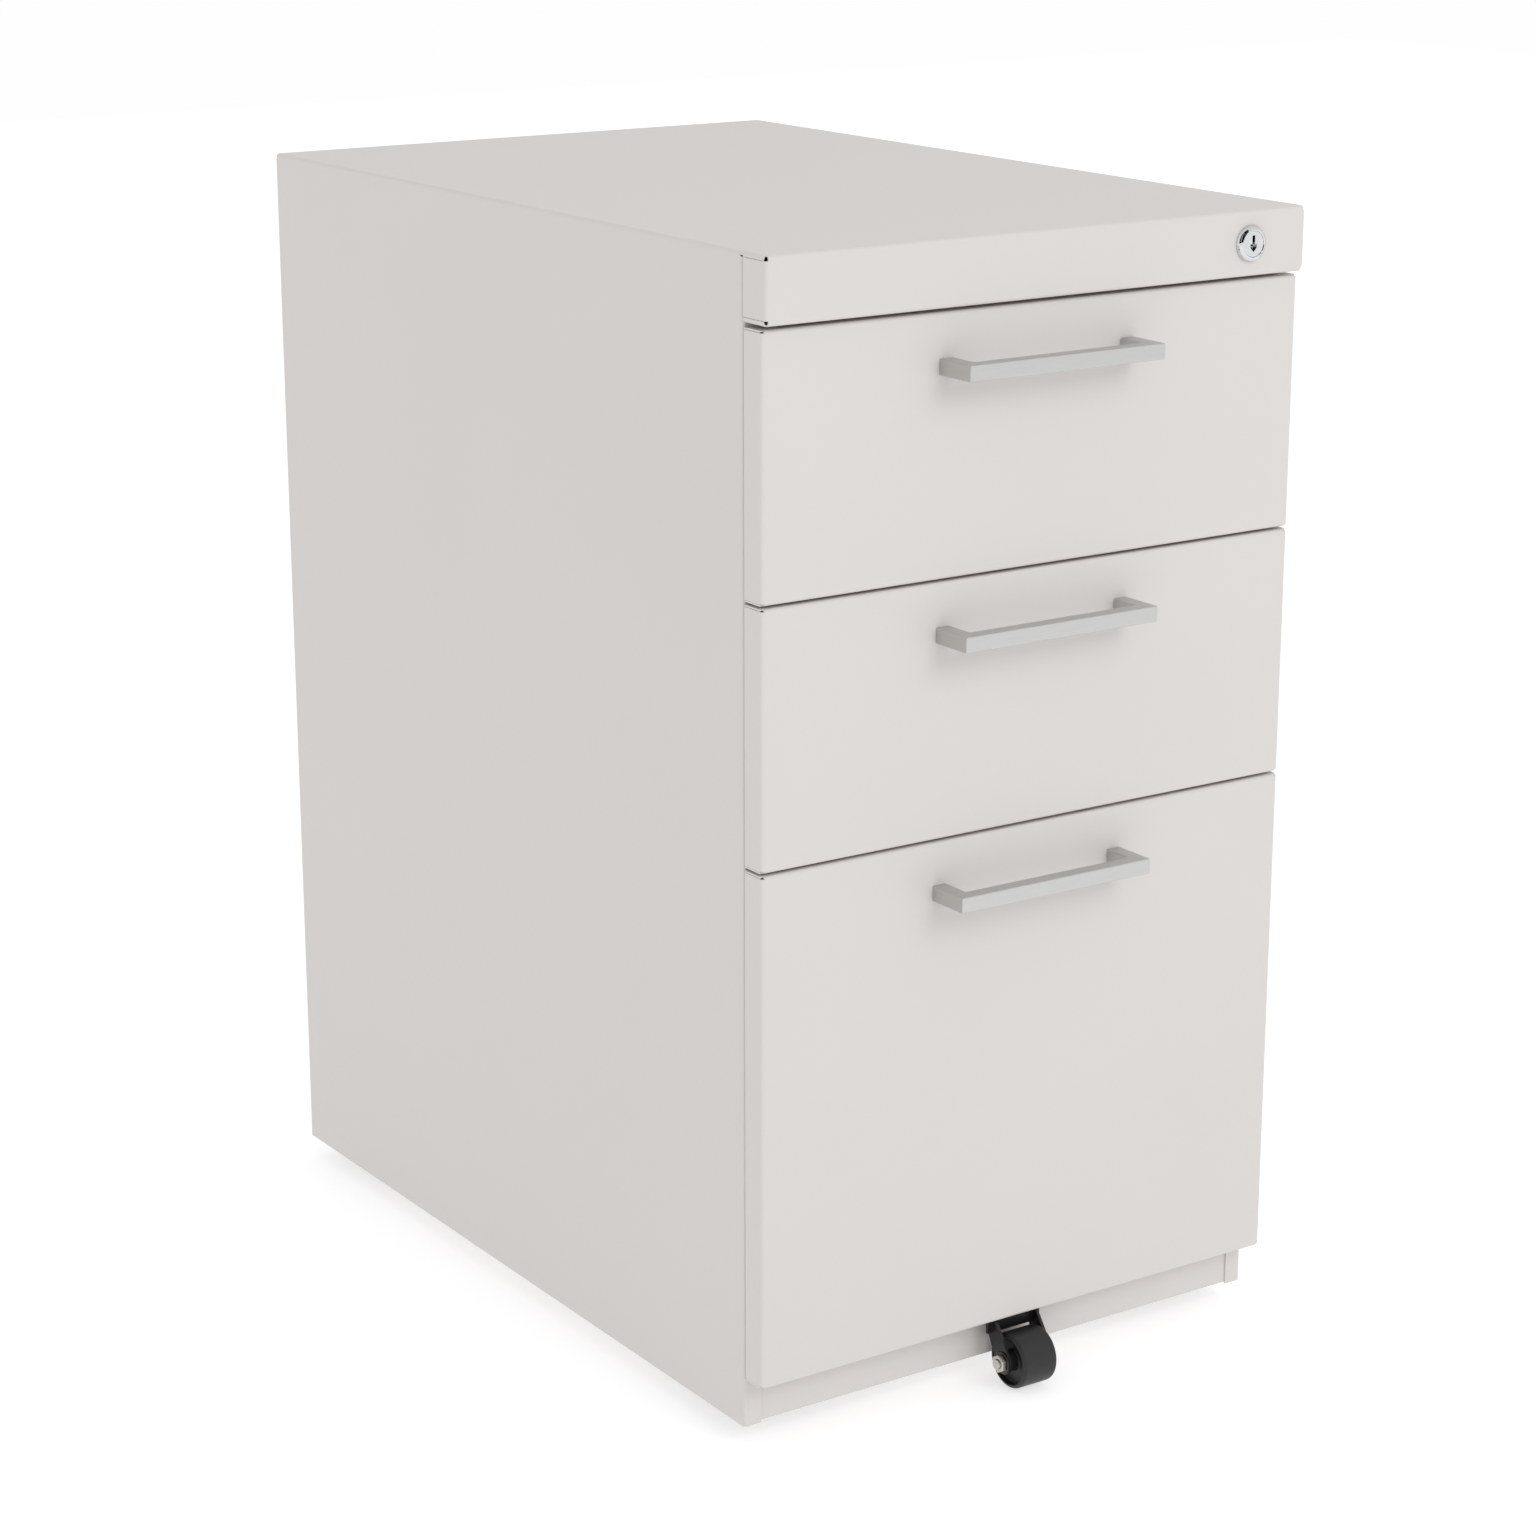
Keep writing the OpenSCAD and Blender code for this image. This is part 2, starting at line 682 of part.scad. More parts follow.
// Outline of a bracket leg, from the plate down and forward round the axle
module tip_leg_outline() {
    z1 = file_z0 - tip_plate_t;
    difference() {
        union() {
            polygon([
                [y_seam - 1, z1 + tip_plate_t],
                [y_tip_lip, z1 + tip_plate_t],
                [y_tip_lip - 5, z1 - 3],
                [y_tip - tip_leg_r, z_tip + 3],
                [y_tip - tip_leg_r, z_tip],
                [y_tip + tip_leg_r, z_tip],
                [y_seam - 5, z1 - 8],
            ]);
            translate([y_tip, z_tip]) circle(tip_leg_r);
        }
        translate([y_tip, z_tip]) circle(tip_axle_r + turn_gap);
    }
}

// Folded bracket: plate under the drawer front, front lip and two legs
module tip_bracket() color([0.08, 0.08, 0.08]) {
    z1 = file_z0 - tip_plate_t;
    block([-tip_lip_w / 2, y_tip_lip, z1], [tip_lip_w / 2, y_seam - 1, file_z0]);
    block([-tip_lip_w / 2, y_tip_lip, z1 - tip_lip_h], [tip_lip_w / 2, y_tip_lip + tip_plate_t, file_z0]);
    both_sides() along_x(tip_leg_x, tip_leg_x + tip_plate_t) tip_leg_outline();
}

// A wheel's half section: tread rounded at its edges, face recessed round the hub
module wheel_outline(r, w, bore, hub_r, hub_half, rim, recess, edge) {
    difference() {
        union() {
            translate([0, -w / 2]) square([r - edge, w]);
            translate([0, -w / 2 + edge]) square([r, w - 2 * edge]);
            for (s = [-1, 1]) translate([r - edge, s * (w / 2 - edge)]) circle(edge);
            translate([0, -hub_half]) square([hub_r, 2 * hub_half]);
        }
        translate([-1, -w]) square([1 + bore, 2 * w]);
        for (s = [-1, 1])
            translate([hub_r, s > 0 ? w / 2 - recess : -w / 2 - 1]) square([r - rim - hub_r, recess + 1]);
    }
}

module tip_wheel() color([0.12, 0.12, 0.12]) translate([0, y_tip, z_tip]) rotate([0, 90, 0])
    rotate_extrude() wheel_outline(
        tip_r, tip_wheel_w, tip_axle_r + turn_gap, tip_hub_r,
        tip_wheel_w / 2 + tip_hub_proud, tip_rim, tip_recess, tip_edge
    );

// Bolt with a round head on the right
module tip_axle() color("silver") {
    x1 = tip_leg_x + tip_plate_t + tip_washer_t;
    rod_x(-x1 - tip_nut_t - 1, x1 + 0.5, y_tip, z_tip, tip_axle_r);
    rod_x(x1, x1 + tip_head_t, y_tip, z_tip, tip_head_r);
}

module tip_nut() color("silver") difference() {
    x1 = tip_leg_x + tip_plate_t + tip_washer_t;
    rod_x(-x1 - tip_nut_t, -x1, y_tip, z_tip, tip_nut_r, 6);
    rod_x(-x1 - tip_nut_t - 1, 1 - x1, y_tip, z_tip, tip_axle_r + turn_gap);
}

module tip_washers() color("dimgray") both_sides() difference() {
    x1 = tip_leg_x + tip_plate_t;
    rod_x(x1, x1 + tip_washer_t, y_tip, z_tip, tip_washer_r);
    rod_x(x1 - 1, x1 + tip_washer_t + 1, y_tip, z_tip, tip_axle_r + turn_gap);
}

// ---- casters ----

// Mounting plates with their swivel races and kingpins
module caster_plates() color("silver") for (at = caster_at) translate([at.x, at.y, 0]) {
    difference() {
        block(
            [-plate_size.x / 2, -plate_size.y / 2, caster_h - plate_t],
            [plate_size.x / 2, plate_size.y / 2, caster_h]
        );
        for (sx = [-1, 1], sy = [-1, 1])
            translate([sx * plate_hole.x, sy * plate_hole.y, caster_h - plate_t - 1])
                cylinder(h = plate_t + 2, r = screw_hole_r);
    }
    translate([0, 0, yoke_z1 + face_clear]) cylinder(h = race_h + eps, r = race_r);
    z0 = yoke_z0 - face_clear - king_head_t;
    translate([0, 0, z0]) cylinder(h = caster_h - plate_t - z0, r = king_r);
    translate([0, 0, z0]) cylinder(h = king_head_t, r = king_head_r);
}

// Sixteen screws up through the plates into the base pan
module caster_screws() color("dimgray") for (at = caster_at, sx = [-1, 1], sy = [-1, 1])
    translate([at.x + sx * plate_hole.x, at.y + sy * plate_hole.y, 0]) {
        translate([0, 0, caster_h - plate_t - caster_head_t])
            cylinder(h = caster_head_t, r = screw_head_r - 0.4);
        translate([0, 0, caster_h - plate_t - 1]) cylinder(h = plate_t + sheet + 4, r = screw_r);
    }

// Fork that swivels on the kingpin; the wheel trails behind
module caster_fork(i) color("silver") translate([caster_at[i].x, caster_at[i].y, 0]) {
    y1 = caster_trail + 2;
    wz = caster_wheel_d / 2;
    difference() {
        translate([0, 0, yoke_z0]) linear_extrude(yoke_t) {
            circle(fork_x + fork_t);
            translate([-fork_x - fork_t, 0]) square([2 * (fork_x + fork_t), y1]);
        }
        translate([0, 0, yoke_z0 - 1]) cylinder(h = yoke_t + 2, r = king_r + turn_gap);
    }
    both_sides() along_x(fork_x, fork_x + fork_t) difference() {
        union() {
            polygon([
                [-2, yoke_z1],
                [y1, yoke_z1],
                [caster_trail + fork_end_r, wz + 2],
                [caster_trail + fork_end_r, wz],
                [caster_trail - fork_end_r, wz],
            ]);
            translate([caster_trail, wz]) circle(fork_end_r);
        }
        translate([caster_trail, wz]) circle(caster_axle_r + turn_gap);
    }
}

// Riveted axle
module caster_axle(i) color("silver") {
    x1 = fork_x + fork_t;
    y = caster_at[i].y + caster_trail;
    z = caster_wheel_d / 2;
    translate([caster_at[i].x, 0, 0]) {
        rod_x(-x1 - 0.5, x1 + 0.5, y, z, caster_axle_r);
        both_sides() rod_x(x1, x1 + rivet_head_t, y, z, rivet_head_r);
    }
}

module caster_wheel(i) color([0.12, 0.12, 0.12])
    translate([caster_at[i].x, caster_at[i].y + caster_trail, caster_wheel_d / 2]) rotate([0, 90, 0])
        rotate_extrude() wheel_outline(
            caster_wheel_d / 2, caster_wheel_w, caster_axle_r + turn_gap, caster_hub_r,
            caster_wheel_w / 2 + caster_hub_proud, caster_rim, caster_recess, caster_edge
        );

// ---- nodes ----

case_wrap();
back_panel();
base_pan();
plinth_panel();
plain_posts();
lock_post();
cross_rails();
slide_case_members();
slide_screws();
lock_cylinder();
lock_nut();
lock_plug();
lock_cam();
lock_cam_screw();
lock_bar();
lock_link();
lock_lugs();
lock_bar_guides();
folder_rails();
tip_bracket();
tip_wheel();
tip_axle();
tip_nut();
tip_washers();
caster_plates();
caster_screws();
for (i = [0:2]) {
    drawer_front(i);
    drawer_body(i);
    drawer_handle(i);
    handle_screws(i);
    drawer_catch(i);
    slide_middle(i);
    slide_inner(i);
}
for (i = [0:3]) {
    caster_fork(i);
    caster_axle(i);
    caster_wheel(i);
}
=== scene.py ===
# Steel filing pedestal on casters: folded sheet metal, bar handles, lock, slides and wheels.
# Lengths are in millimetres here and turned to metres when a mesh is made.
import json
import math
import bmesh
import bpy
import numpy as np
from mathutils import Matrix, Vector

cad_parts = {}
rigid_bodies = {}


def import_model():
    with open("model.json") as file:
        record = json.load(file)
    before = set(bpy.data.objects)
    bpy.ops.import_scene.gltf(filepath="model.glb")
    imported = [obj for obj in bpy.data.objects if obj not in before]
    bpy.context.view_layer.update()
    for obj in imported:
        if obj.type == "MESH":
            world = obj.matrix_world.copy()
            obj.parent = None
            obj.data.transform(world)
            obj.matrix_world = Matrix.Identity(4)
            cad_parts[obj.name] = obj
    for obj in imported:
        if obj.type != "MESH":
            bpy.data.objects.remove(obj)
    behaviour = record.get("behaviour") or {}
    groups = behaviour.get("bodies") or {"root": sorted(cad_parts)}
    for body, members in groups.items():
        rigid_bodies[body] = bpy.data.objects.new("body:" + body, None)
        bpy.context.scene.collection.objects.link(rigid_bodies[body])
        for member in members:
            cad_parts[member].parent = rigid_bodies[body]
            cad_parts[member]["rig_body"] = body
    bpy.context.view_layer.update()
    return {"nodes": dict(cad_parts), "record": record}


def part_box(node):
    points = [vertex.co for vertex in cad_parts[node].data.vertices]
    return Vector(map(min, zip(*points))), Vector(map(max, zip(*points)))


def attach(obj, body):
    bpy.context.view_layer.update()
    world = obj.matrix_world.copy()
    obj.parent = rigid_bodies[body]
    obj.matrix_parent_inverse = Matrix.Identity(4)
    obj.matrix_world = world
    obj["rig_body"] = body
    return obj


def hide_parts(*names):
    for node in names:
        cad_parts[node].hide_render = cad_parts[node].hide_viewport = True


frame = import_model()
cadNodes = frame["nodes"]
slotOf = {part["node"]: part["material_slot"] for part in frame["record"]["subparts"]}
mm = 0.001
near = 0.01              # lengths this close count as equal, in millimetres
drawers = ("top", "middle", "file")
casters = ("front_left", "front_right", "rear_left", "rear_right")
print("frame loaded:", len(cadNodes), "nodes")


def boxOf(node):
    # lowest and highest corner of a CAD node, in millimetres
    low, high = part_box(node)
    return np.array(low) / mm, np.array(high) / mm


# camera, floor and light
view = {
    "place": (-1264.03, -1884.76, 975.38),
    "azimuth": -33.788,      # degrees round the object, 0 looks straight at the front
    "elevation": 15.967,     # degrees above level
    "lens": 85.46,
    "sensor": 36,
}
studio = {
    "floor": 14000,
    "floorColour": "#BCBCBC",
    "floorGlow": 0.62,       # the floor is a lit table, so shadows on it stay faint
    "air": (0.99, 0.82),     # brightness of the air level with the eye and overhead
    "keyPlace": (300, -2700, 2100),
    "keyAim": (0, -100, 350),
    "keySize": 1500,
    "keyPower": 19,
    "cardAzimuth": 30,       # the cards stand to the left, and only shiny things mirror them
    "blackPlace": (-640, -1105, 2130),
    "blackSize": (3000, 2800),
    "blackColour": "#050505",
    "whitePlace": (-560, -1020, 1580),
    "whiteSize": (110, 1500),
    "whiteGlow": 0.9,
}


def linear(code):
    # sRGB hex to the linear colour that shaders use
    c = np.array([int(code[i:i + 2], 16) for i in (1, 3, 5)]) / 255
    return (*np.where(c <= 0.04045, c / 12.92, ((c + 0.055) / 1.055) ** 2.4).tolist(), 1.0)


def addNode(tree, kind, settings=None, links=None):
    # one shader node; a setting is a property of the node or the value of an input, links go to inputs
    node = tree.nodes.new("ShaderNode" + kind)
    for key, value in (settings or {}).items():
        if isinstance(key, str) and hasattr(node, key):
            setattr(node, key, value)
        else:
            node.inputs[key].default_value = value
    for key, socket in (links or {}).items():
        tree.links.new(socket, node.inputs[key])
    return node


def setCamera():
    # a camera at its place that looks back along the direction of azimuth and elevation
    a, e = math.radians(view["azimuth"]), math.radians(view["elevation"])
    back = Vector((math.sin(a) * math.cos(e), -math.cos(a) * math.cos(e), math.sin(e)))
    right = Vector((math.cos(a), math.sin(a), 0))
    turn = Matrix((right, back.cross(right), back)).transposed().to_4x4()
    data = bpy.data.cameras.new("camera")
    data.lens, data.sensor_width = view["lens"], view["sensor"]
    data.clip_end = 100
    camera = bpy.data.objects.new("camera", data)
    camera.matrix_world = Matrix.Translation(Vector(view["place"]) * mm) @ turn
    bpy.context.scene.collection.objects.link(camera)
    bpy.context.scene.camera = camera


def stageSheet(name, corners, material):
    # one flat face of the studio, not part of the pedestal
    mesh = bpy.data.meshes.new(name)
    mesh.from_pydata((np.array(corners, float) * mm).tolist(), [], [(0, 1, 2, 3)])
    mesh.materials.append(material)
    sheet = bpy.data.objects.new(name, mesh)
    bpy.context.scene.collection.objects.link(sheet)
    return sheet


def stagePaint(name, colour, glow):
    # matt paint for the studio, lit from within by its glow
    material = bpy.data.materials.new(name)
    material.use_nodes = True
    shader = material.node_tree.nodes["Principled BSDF"]
    shader.inputs["Base Color"].default_value = linear(colour)
    shader.inputs["Roughness"].default_value = 0.9
    shader.inputs["Specular IOR Level"].default_value = 0.1
    shader.inputs["Emission Color"].default_value = linear("#FFFFFF")
    shader.inputs["Emission Strength"].default_value = glow
    return material


def mirroredCard(name, place, size, material):
    # an upright card that neither the camera nor the paint sees, for polished metal to mirror
    turn = math.radians(studio["cardAzimuth"])
    side = np.array([math.cos(turn), -math.sin(turn), 0]) * size[0] / 2
    rise = np.array([0, 0, size[1] / 2])
    centre = np.array(place)
    card = stageSheet(name, [centre - side - rise, centre + side - rise, centre + side + rise,
                             centre - side + rise], material)
    card.visible_camera = card.visible_diffuse = card.visible_shadow = False


def setStudio():
    # White air that dims overhead, a softbox ahead, a lit floor, and two cards out of sight.
    scene = bpy.context.scene
    scene.view_settings.view_transform = "Standard"
    world = bpy.data.worlds.new("studio air")
    world.use_nodes = True
    tree = world.node_tree
    air = tree.nodes["Background"]
    air.inputs["Color"].default_value = linear("#FFFFFF")
    direction = addNode(tree, "TexCoord").outputs["Generated"]
    height = addNode(tree, "SeparateXYZ", {}, {"Vector": direction}).outputs["Z"]
    level, overhead = studio["air"]
    dimmed = addNode(tree, "MapRange", {"To Min": level, "To Max": overhead}, {"Value": height})
    tree.links.new(dimmed.outputs["Result"], air.inputs["Strength"])
    scene.world = world
    key = bpy.data.lights.new("key softbox", "AREA")
    key.shape, key.size, key.energy = "DISK", studio["keySize"] * mm, studio["keyPower"]
    lamp = bpy.data.objects.new("key softbox", key)
    place, aim = Vector(studio["keyPlace"]) * mm, Vector(studio["keyAim"]) * mm
    facing = (aim - place).to_track_quat("-Z", "Y").to_matrix().to_4x4()
    lamp.matrix_world = Matrix.Translation(place) @ facing
    scene.collection.objects.link(lamp)
    half = studio["floor"] / 2
    stageSheet("studio_floor", [(-half, -half, 0), (half, -half, 0), (half, half, 0), (-half, half, 0)],
               stagePaint("matt white floor paint", studio["floorColour"], studio["floorGlow"]))
    mirroredCard("black_card", studio["blackPlace"], studio["blackSize"],
                 stagePaint("black felt", studio["blackColour"], 0))
    mirroredCard("white_card", studio["whitePlace"], studio["whiteSize"],
                 stagePaint("lit white card", "#FFFFFF", studio["whiteGlow"]))


setCamera()
setStudio()
print("camera, floor and light set")


def startFinish(name, shaderSettings):
    # an empty material with its shader, and the object's own coordinates in metres
    material = bpy.data.materials.new(name)
    material.use_nodes = True
    tree = material.node_tree
    shader = tree.nodes["Principled BSDF"]
    for key, value in shaderSettings.items():
        shader.inputs[key].default_value = value
    place = addNode(tree, "TexCoord").outputs["Object"]
    return material, tree, shader, place


def finishWith(tree, shader, look, factor, height):
    # What every finish shares: the factor leads the colour between two near shades and the roughness a
    # little below and above its middle, and the height becomes a fine relief.
    shade = addNode(tree, "Mix", {"data_type": "RGBA", 6: linear(look["dark"]), 7: linear(look["light"])},
                    {0: factor})
    rough = addNode(tree, "MapRange", {"To Min": look["rough"] - look["vary"][0],
                                       "To Max": look["rough"] + look["vary"][1]}, {"Value": factor})
    strength, depth = look["relief"]
    bump = addNode(tree, "Bump", {"Strength": strength, "Distance": depth * mm}, {"Height": height})
    tree.links.new(shade.outputs[2], shader.inputs["Base Color"])
    tree.links.new(rough.outputs["Result"], shader.inputs["Roughness"])
    tree.links.new(bump.outputs["Normal"], shader.inputs["Normal"])


def powderCoat(name, look):
    # Powder coat baked on steel: an even satin colour whose skin has the faint dimples of orange peel,
    # which break up every highlight, and a slow drift in shade from the spray gun's passes.
    material, tree, shader, place = startFinish(name, {"Specular IOR Level": look["gloss"]})
    drift = addNode(tree, "TexNoise", {"Scale": 1 / (look["drift"] * mm), "Detail": 2.0}, {"Vector": place})
    peel = addNode(tree, "TexNoise", {"Scale": 1 / (look["peel"] * mm), "Detail": 3.0, "Roughness": 0.55},
                   {"Vector": place})
    grit = addNode(tree, "TexNoise", {"Scale": 1 / (look["grit"] * mm), "Detail": 1.0}, {"Vector": place})
    both = addNode(tree, "Math", {"operation": "MULTIPLY_ADD", 1: look["gritShare"]},
                   {0: grit.outputs["Fac"], 2: peel.outputs["Fac"]})
    finishWith(tree, shader, look, drift.outputs["Fac"], both.outputs["Value"])
    return material


def platedSteel(name, look):
    # Bright zinc on cold-rolled steel: fine rolling lines along the strip, under soft crystals of zinc
    # that take the light a little differently from one to the next.
    material, tree, shader, place = startFinish(name, {"Metallic": 1.0})
    lines = addNode(tree, "Mapping", {"Scale": look["lines"]}, {"Vector": place})
    rolled = addNode(tree, "TexNoise", {"Scale": 1.0, "Detail": 3.0}, {"Vector": lines.outputs["Vector"]})
    crystal = addNode(tree, "TexVoronoi", {"Scale": 1 / (look["crystal"] * mm)}, {"Vector": place})
    sheen = addNode(tree, "SeparateColor", {}, {"Color": crystal.outputs["Color"]}).outputs["Red"]
    blend = addNode(tree, "Math", {"operation": "MULTIPLY_ADD", 1: look["spangle"]},
                    {0: sheen, 2: rolled.outputs["Fac"]})
    finishWith(tree, shader, look, blend.outputs["Value"], rolled.outputs["Fac"])
    return material


def brushedAluminium(name, look):
    # Aluminium brushed along the bar, then clear anodised: hair-fine lines that run round its corners
    # and draw each highlight out across them. The lines follow the piece's own UV map.
    material, tree, shader = startFinish(name, {"Metallic": 1.0})[:3]
    along = addNode(tree, "UVMap", {"uv_map": "UVMap"}).outputs["UV"]
    hair = addNode(tree, "Mapping", {"Scale": (1 / (look["stroke"] * mm), 1 / (look["hair"] * mm), 1)},
                   {"Vector": along})
    brushed = addNode(tree, "TexNoise", {"Scale": 1.0, "Detail": 4.0, "Roughness": 0.6},
                      {"Vector": hair.outputs["Vector"]})
    finishWith(tree, shader, look, brushed.outputs["Fac"], brushed.outputs["Fac"])
    return material


def polishedMetal(name, look):
    # Chrome on a polished die casting, or ball steel: a near mirror whose long soft polishing waves
    # keep its reflections from being perfectly sharp.
    material, tree, shader, place = startFinish(name, {"Metallic": 1.0})
    waves = addNode(tree, "TexNoise", {"Scale": 1 / (look["wave"] * mm), "Detail": 2.0}, {"Vector": place})
    finishWith(tree, shader, look, waves.outputs["Fac"], waves.outputs["Fac"])
    return material


def mouldedNylon(name, look):
    # Injection-moulded nylon: a dull skin with the fine grain of the etched mould, slightly cloudy
    # where the melt cooled, and rubbed a little smoother in patches.
    material, tree, shader, place = startFinish(name, {"Specular IOR Level": 0.45})
    cloud = addNode(tree, "TexNoise", {"Scale": 1 / (look["cloud"] * mm), "Detail": 3.0}, {"Vector": place})
    grain = addNode(tree, "TexNoise", {"Scale": 1 / (look["grain"] * mm), "Detail": 2.0}, {"Vector": place})
    finishWith(tree, shader, look, cloud.outputs["Fac"], grain.outputs["Fac"])
    return material


def lineScale(across, along, axis):
    # mapping scale for lines that run along an axis: across is their spacing, along their length, in mm
    scale = [1 / (across * mm)] * 3
    scale["XYZ".index(axis)] = 1 / (along * mm)
    return scale


# Spacings are in millimetres. peel is that of the orange peel's dimples, about twice as coarse as real
# so that it shows, and vary is how far the roughness goes below and above its middle.
paintLook = {"dark": "#CCC8C5", "light": "#CFCBC8", "gloss": 0.42, "rough": 0.44, "vary": (0.04, 0.04),
             "drift": 120, "peel": 1.6, "grit": 0.4, "gritShare": 0.3, "relief": (0.22, 0.06)}
blackLook = dict(paintLook, dark="#101011", light="#161617", rough=0.4, drift=20, peel=0.9, grit=0.225)
sheetLook = {"dark": "#9DA1A4", "light": "#B9BCBE", "rough": 0.34, "vary": (0.06, 0.08), "crystal": 7,
             "spangle": 0.35, "relief": (0.12, 0.01), "lines": lineScale(0.5, 40, "Z")}
casterLook = dict(sheetLook, crystal=4, lines=lineScale(0.4, 12, "Y"))
slideLook = dict(sheetLook, dark="#A4A8AB", light="#BEC1C3", rough=0.3, lines=lineScale(0.35, 60, "Y"))
boltLook = dict(sheetLook, dark="#A9A79F", light="#C9C7BF", rough=0.27, crystal=1.5, spangle=0.2,
                lines=lineScale(0.2, 2, "X"))
castLook = dict(boltLook, dark="#8E8E8B", light="#A3A3A0", rough=0.42)
oiledLook = dict(boltLook, dark="#3B3A39", light="#565452", rough=0.38)
barLook = {"dark": "#B7B7B5", "light": "#D3D3D1", "rough": 0.4, "vary": (0.05, 0.07), "stroke": 22,
           "hair": 0.22, "relief": (0.2, 0.01)}
chromeLook = {"dark": "#CDCED0", "light": "#DDDEDF", "rough": 0.06, "vary": (0.024, 0.024), "wave": 3,
              "relief": (0.05, 0.01)}
ballLook = dict(chromeLook, dark="#C6C8CA", light="#DFE0E1", rough=0.1, vary=(0.04, 0.04), wave=2)
nylonLook = {"dark": "#161617", "light": "#232324", "rough": 0.47, "vary": (0.09, 0.09), "cloud": 9,
             "grain": 0.5, "relief": (0.3, 0.02)}
greyLook = dict(nylonLook, dark="#6E6F70", light="#7B7C7D", rough=0.5)
finishes = {
    "greige_powder_coat": powderCoat("greige satin powder coat", paintLook),
    "black_steel": powderCoat("black powder coat", blackLook),
    "zinc_plated_steel": platedSteel("zinc-plated sheet steel", sheetLook),
    "zinc_fasteners": platedSteel("zinc-plated fasteners", boltLook),
    "caster_steel": platedSteel("zinc-plated pressed caster steel", casterLook),
    "lock_zinc": platedSteel("dull zinc die casting", castLook),
    "dark_washers": platedSteel("oiled dark steel washers", oiledLook),
    "satin_aluminium": brushedAluminium("brushed anodised aluminium", barLook),
    "lock_chrome": polishedMetal("polished chrome plate", chromeLook),
    "black_nylon": mouldedNylon("black moulded nylon", nylonLook),
    "grey_nylon": mouldedNylon("grey moulded nylon", greyLook),
}
slideSteel = platedSteel("zinc-plated slide steel", slideLook)
ballSteel = polishedMetal("polished bearing balls", ballLook)
for name, node in cadNodes.items():
    node.data.materials.clear()
    node.data.materials.append(finishes[slotOf[name]])
print("finishes made:", len(finishes) + 2)


# how meshes are cleaned and finished
meshing = {
    "merge": 0.004,      # points of a new piece this close become one
    "sliver": 0.002,     # its edges shorter than this go
    "cadMerge": 0.002,   # points of a CAD shape's copy this close become one
    "flat": 0.6,         # and its faces that turn by fewer degrees than this become one
    "bevelSteps": 2,
    "lead": 1,           # an outline that starts at a fold starts this far before it, then drops that point
}


def rounded(corners, radii, steps=6, closed=True):
    # A polygon whose corners become arcs tangent to both sides. With h half the angle inside a corner,
    # the arc starts r / tan(h) from the corner, and its centre is r / sin(h) along the corner's bisector.
    p = np.array(corners, float)
    r = np.broadcast_to(np.array(radii, float), len(p))[:, None]
    toLast, toNext = np.roll(p, 1, 0) - p, np.roll(p, -1, 0) - p
    toLast /= np.linalg.norm(toLast, axis=1, keepdims=True)
    toNext /= np.linalg.norm(toNext, axis=1, keepdims=True)
    half = np.arccos(np.clip((toLast * toNext).sum(1, keepdims=True), -1, 1)) / 2
    bisector = toLast + toNext
    bisector /= np.maximum(np.linalg.norm(bisector, axis=1, keepdims=True), 1e-9)
    centre = p + bisector * r / np.sin(half)
    first, last = p + toLast * r / np.tan(half) - centre, p + toNext * r / np.tan(half) - centre
    turn = (math.pi - 2 * half)[:, None]
    t = np.linspace(0, 1, steps + 1)[None, :, None]
    bent = np.sin((1 - t) * turn) * first[:, None] + np.sin(t * turn) * last[:, None]
    bent = bent / np.maximum(np.sin(turn), 1e-9) + centre[:, None]
    bent = np.where((turn < 1e-6) | (r[:, None] <= 0), p[:, None], bent)
    if closed:
        return bent.reshape(-1, 2)
    return np.vstack([p[:1], bent[1:-1].reshape(-1, 2), p[-1:]])


def patch(points, keep=None, inside=None, wrapRows=False, wrapCols=False):
    # A grid of points as quads. keep picks cells by the middle of each; inside is a point that every
    # face looks away from on the whole, by the sum over faces of area times distance outwards.
    rows, cols = points.shape[:2]
    i, j = np.meshgrid(np.arange(rows - (not wrapRows)), np.arange(cols - (not wrapCols)), indexing="ij")
    k, m = (i + 1) % rows, (j + 1) % cols
    quads = np.stack([i * cols + j, i * cols + m, k * cols + m, k * cols + j], -1).reshape(-1, 4)
    flat = points.reshape(-1, 3)
    if keep is not None:
        quads = quads[keep(*flat[quads].mean(1).T)]
    if inside is not None:
        corner = flat[quads]
        normal = np.cross(corner[:, 2] - corner[:, 0], corner[:, 3] - corner[:, 1])
        if (normal * (corner.mean(1) - np.array(inside, float))).sum() < 0:
            quads = quads[:, ::-1]
    return flat, quads


def drawn(profile, stops, axes):
    # A profile carried straight along an axis: point (i, j) is profile point i moved to stop j.
    # axes says where the profile's first and second numbers and the stop go, such as "yzx".
    profile, stops = np.asarray(profile, float), np.asarray(stops, float)
    grid = np.empty((len(profile), len(stops), 3))
    for letter, values in zip(axes, (profile[:, :1], profile[:, 1:], stops[None, :])):
        grid[:, :, "xyz".index(letter)] = values
    return grid


def turned(profile, centre, axis, steps=96):
    # A closed profile of (radius, distance along the axis) turned round the axis: at angle a a point
    # is radius cos a and radius sin a from it along the two other axes.
    angle = np.linspace(0, 2 * math.pi, steps, endpoint=False)
    k = "XYZ".index(axis)
    grid = np.empty((len(profile), steps, 3))
    grid[:, :, k] = profile[:, 1:]
    grid[:, :, (k + 1) % 3] = profile[:, :1] * np.cos(angle)
    grid[:, :, (k + 2) % 3] = profile[:, :1] * np.sin(angle)
    return grid + np.array(centre, float)


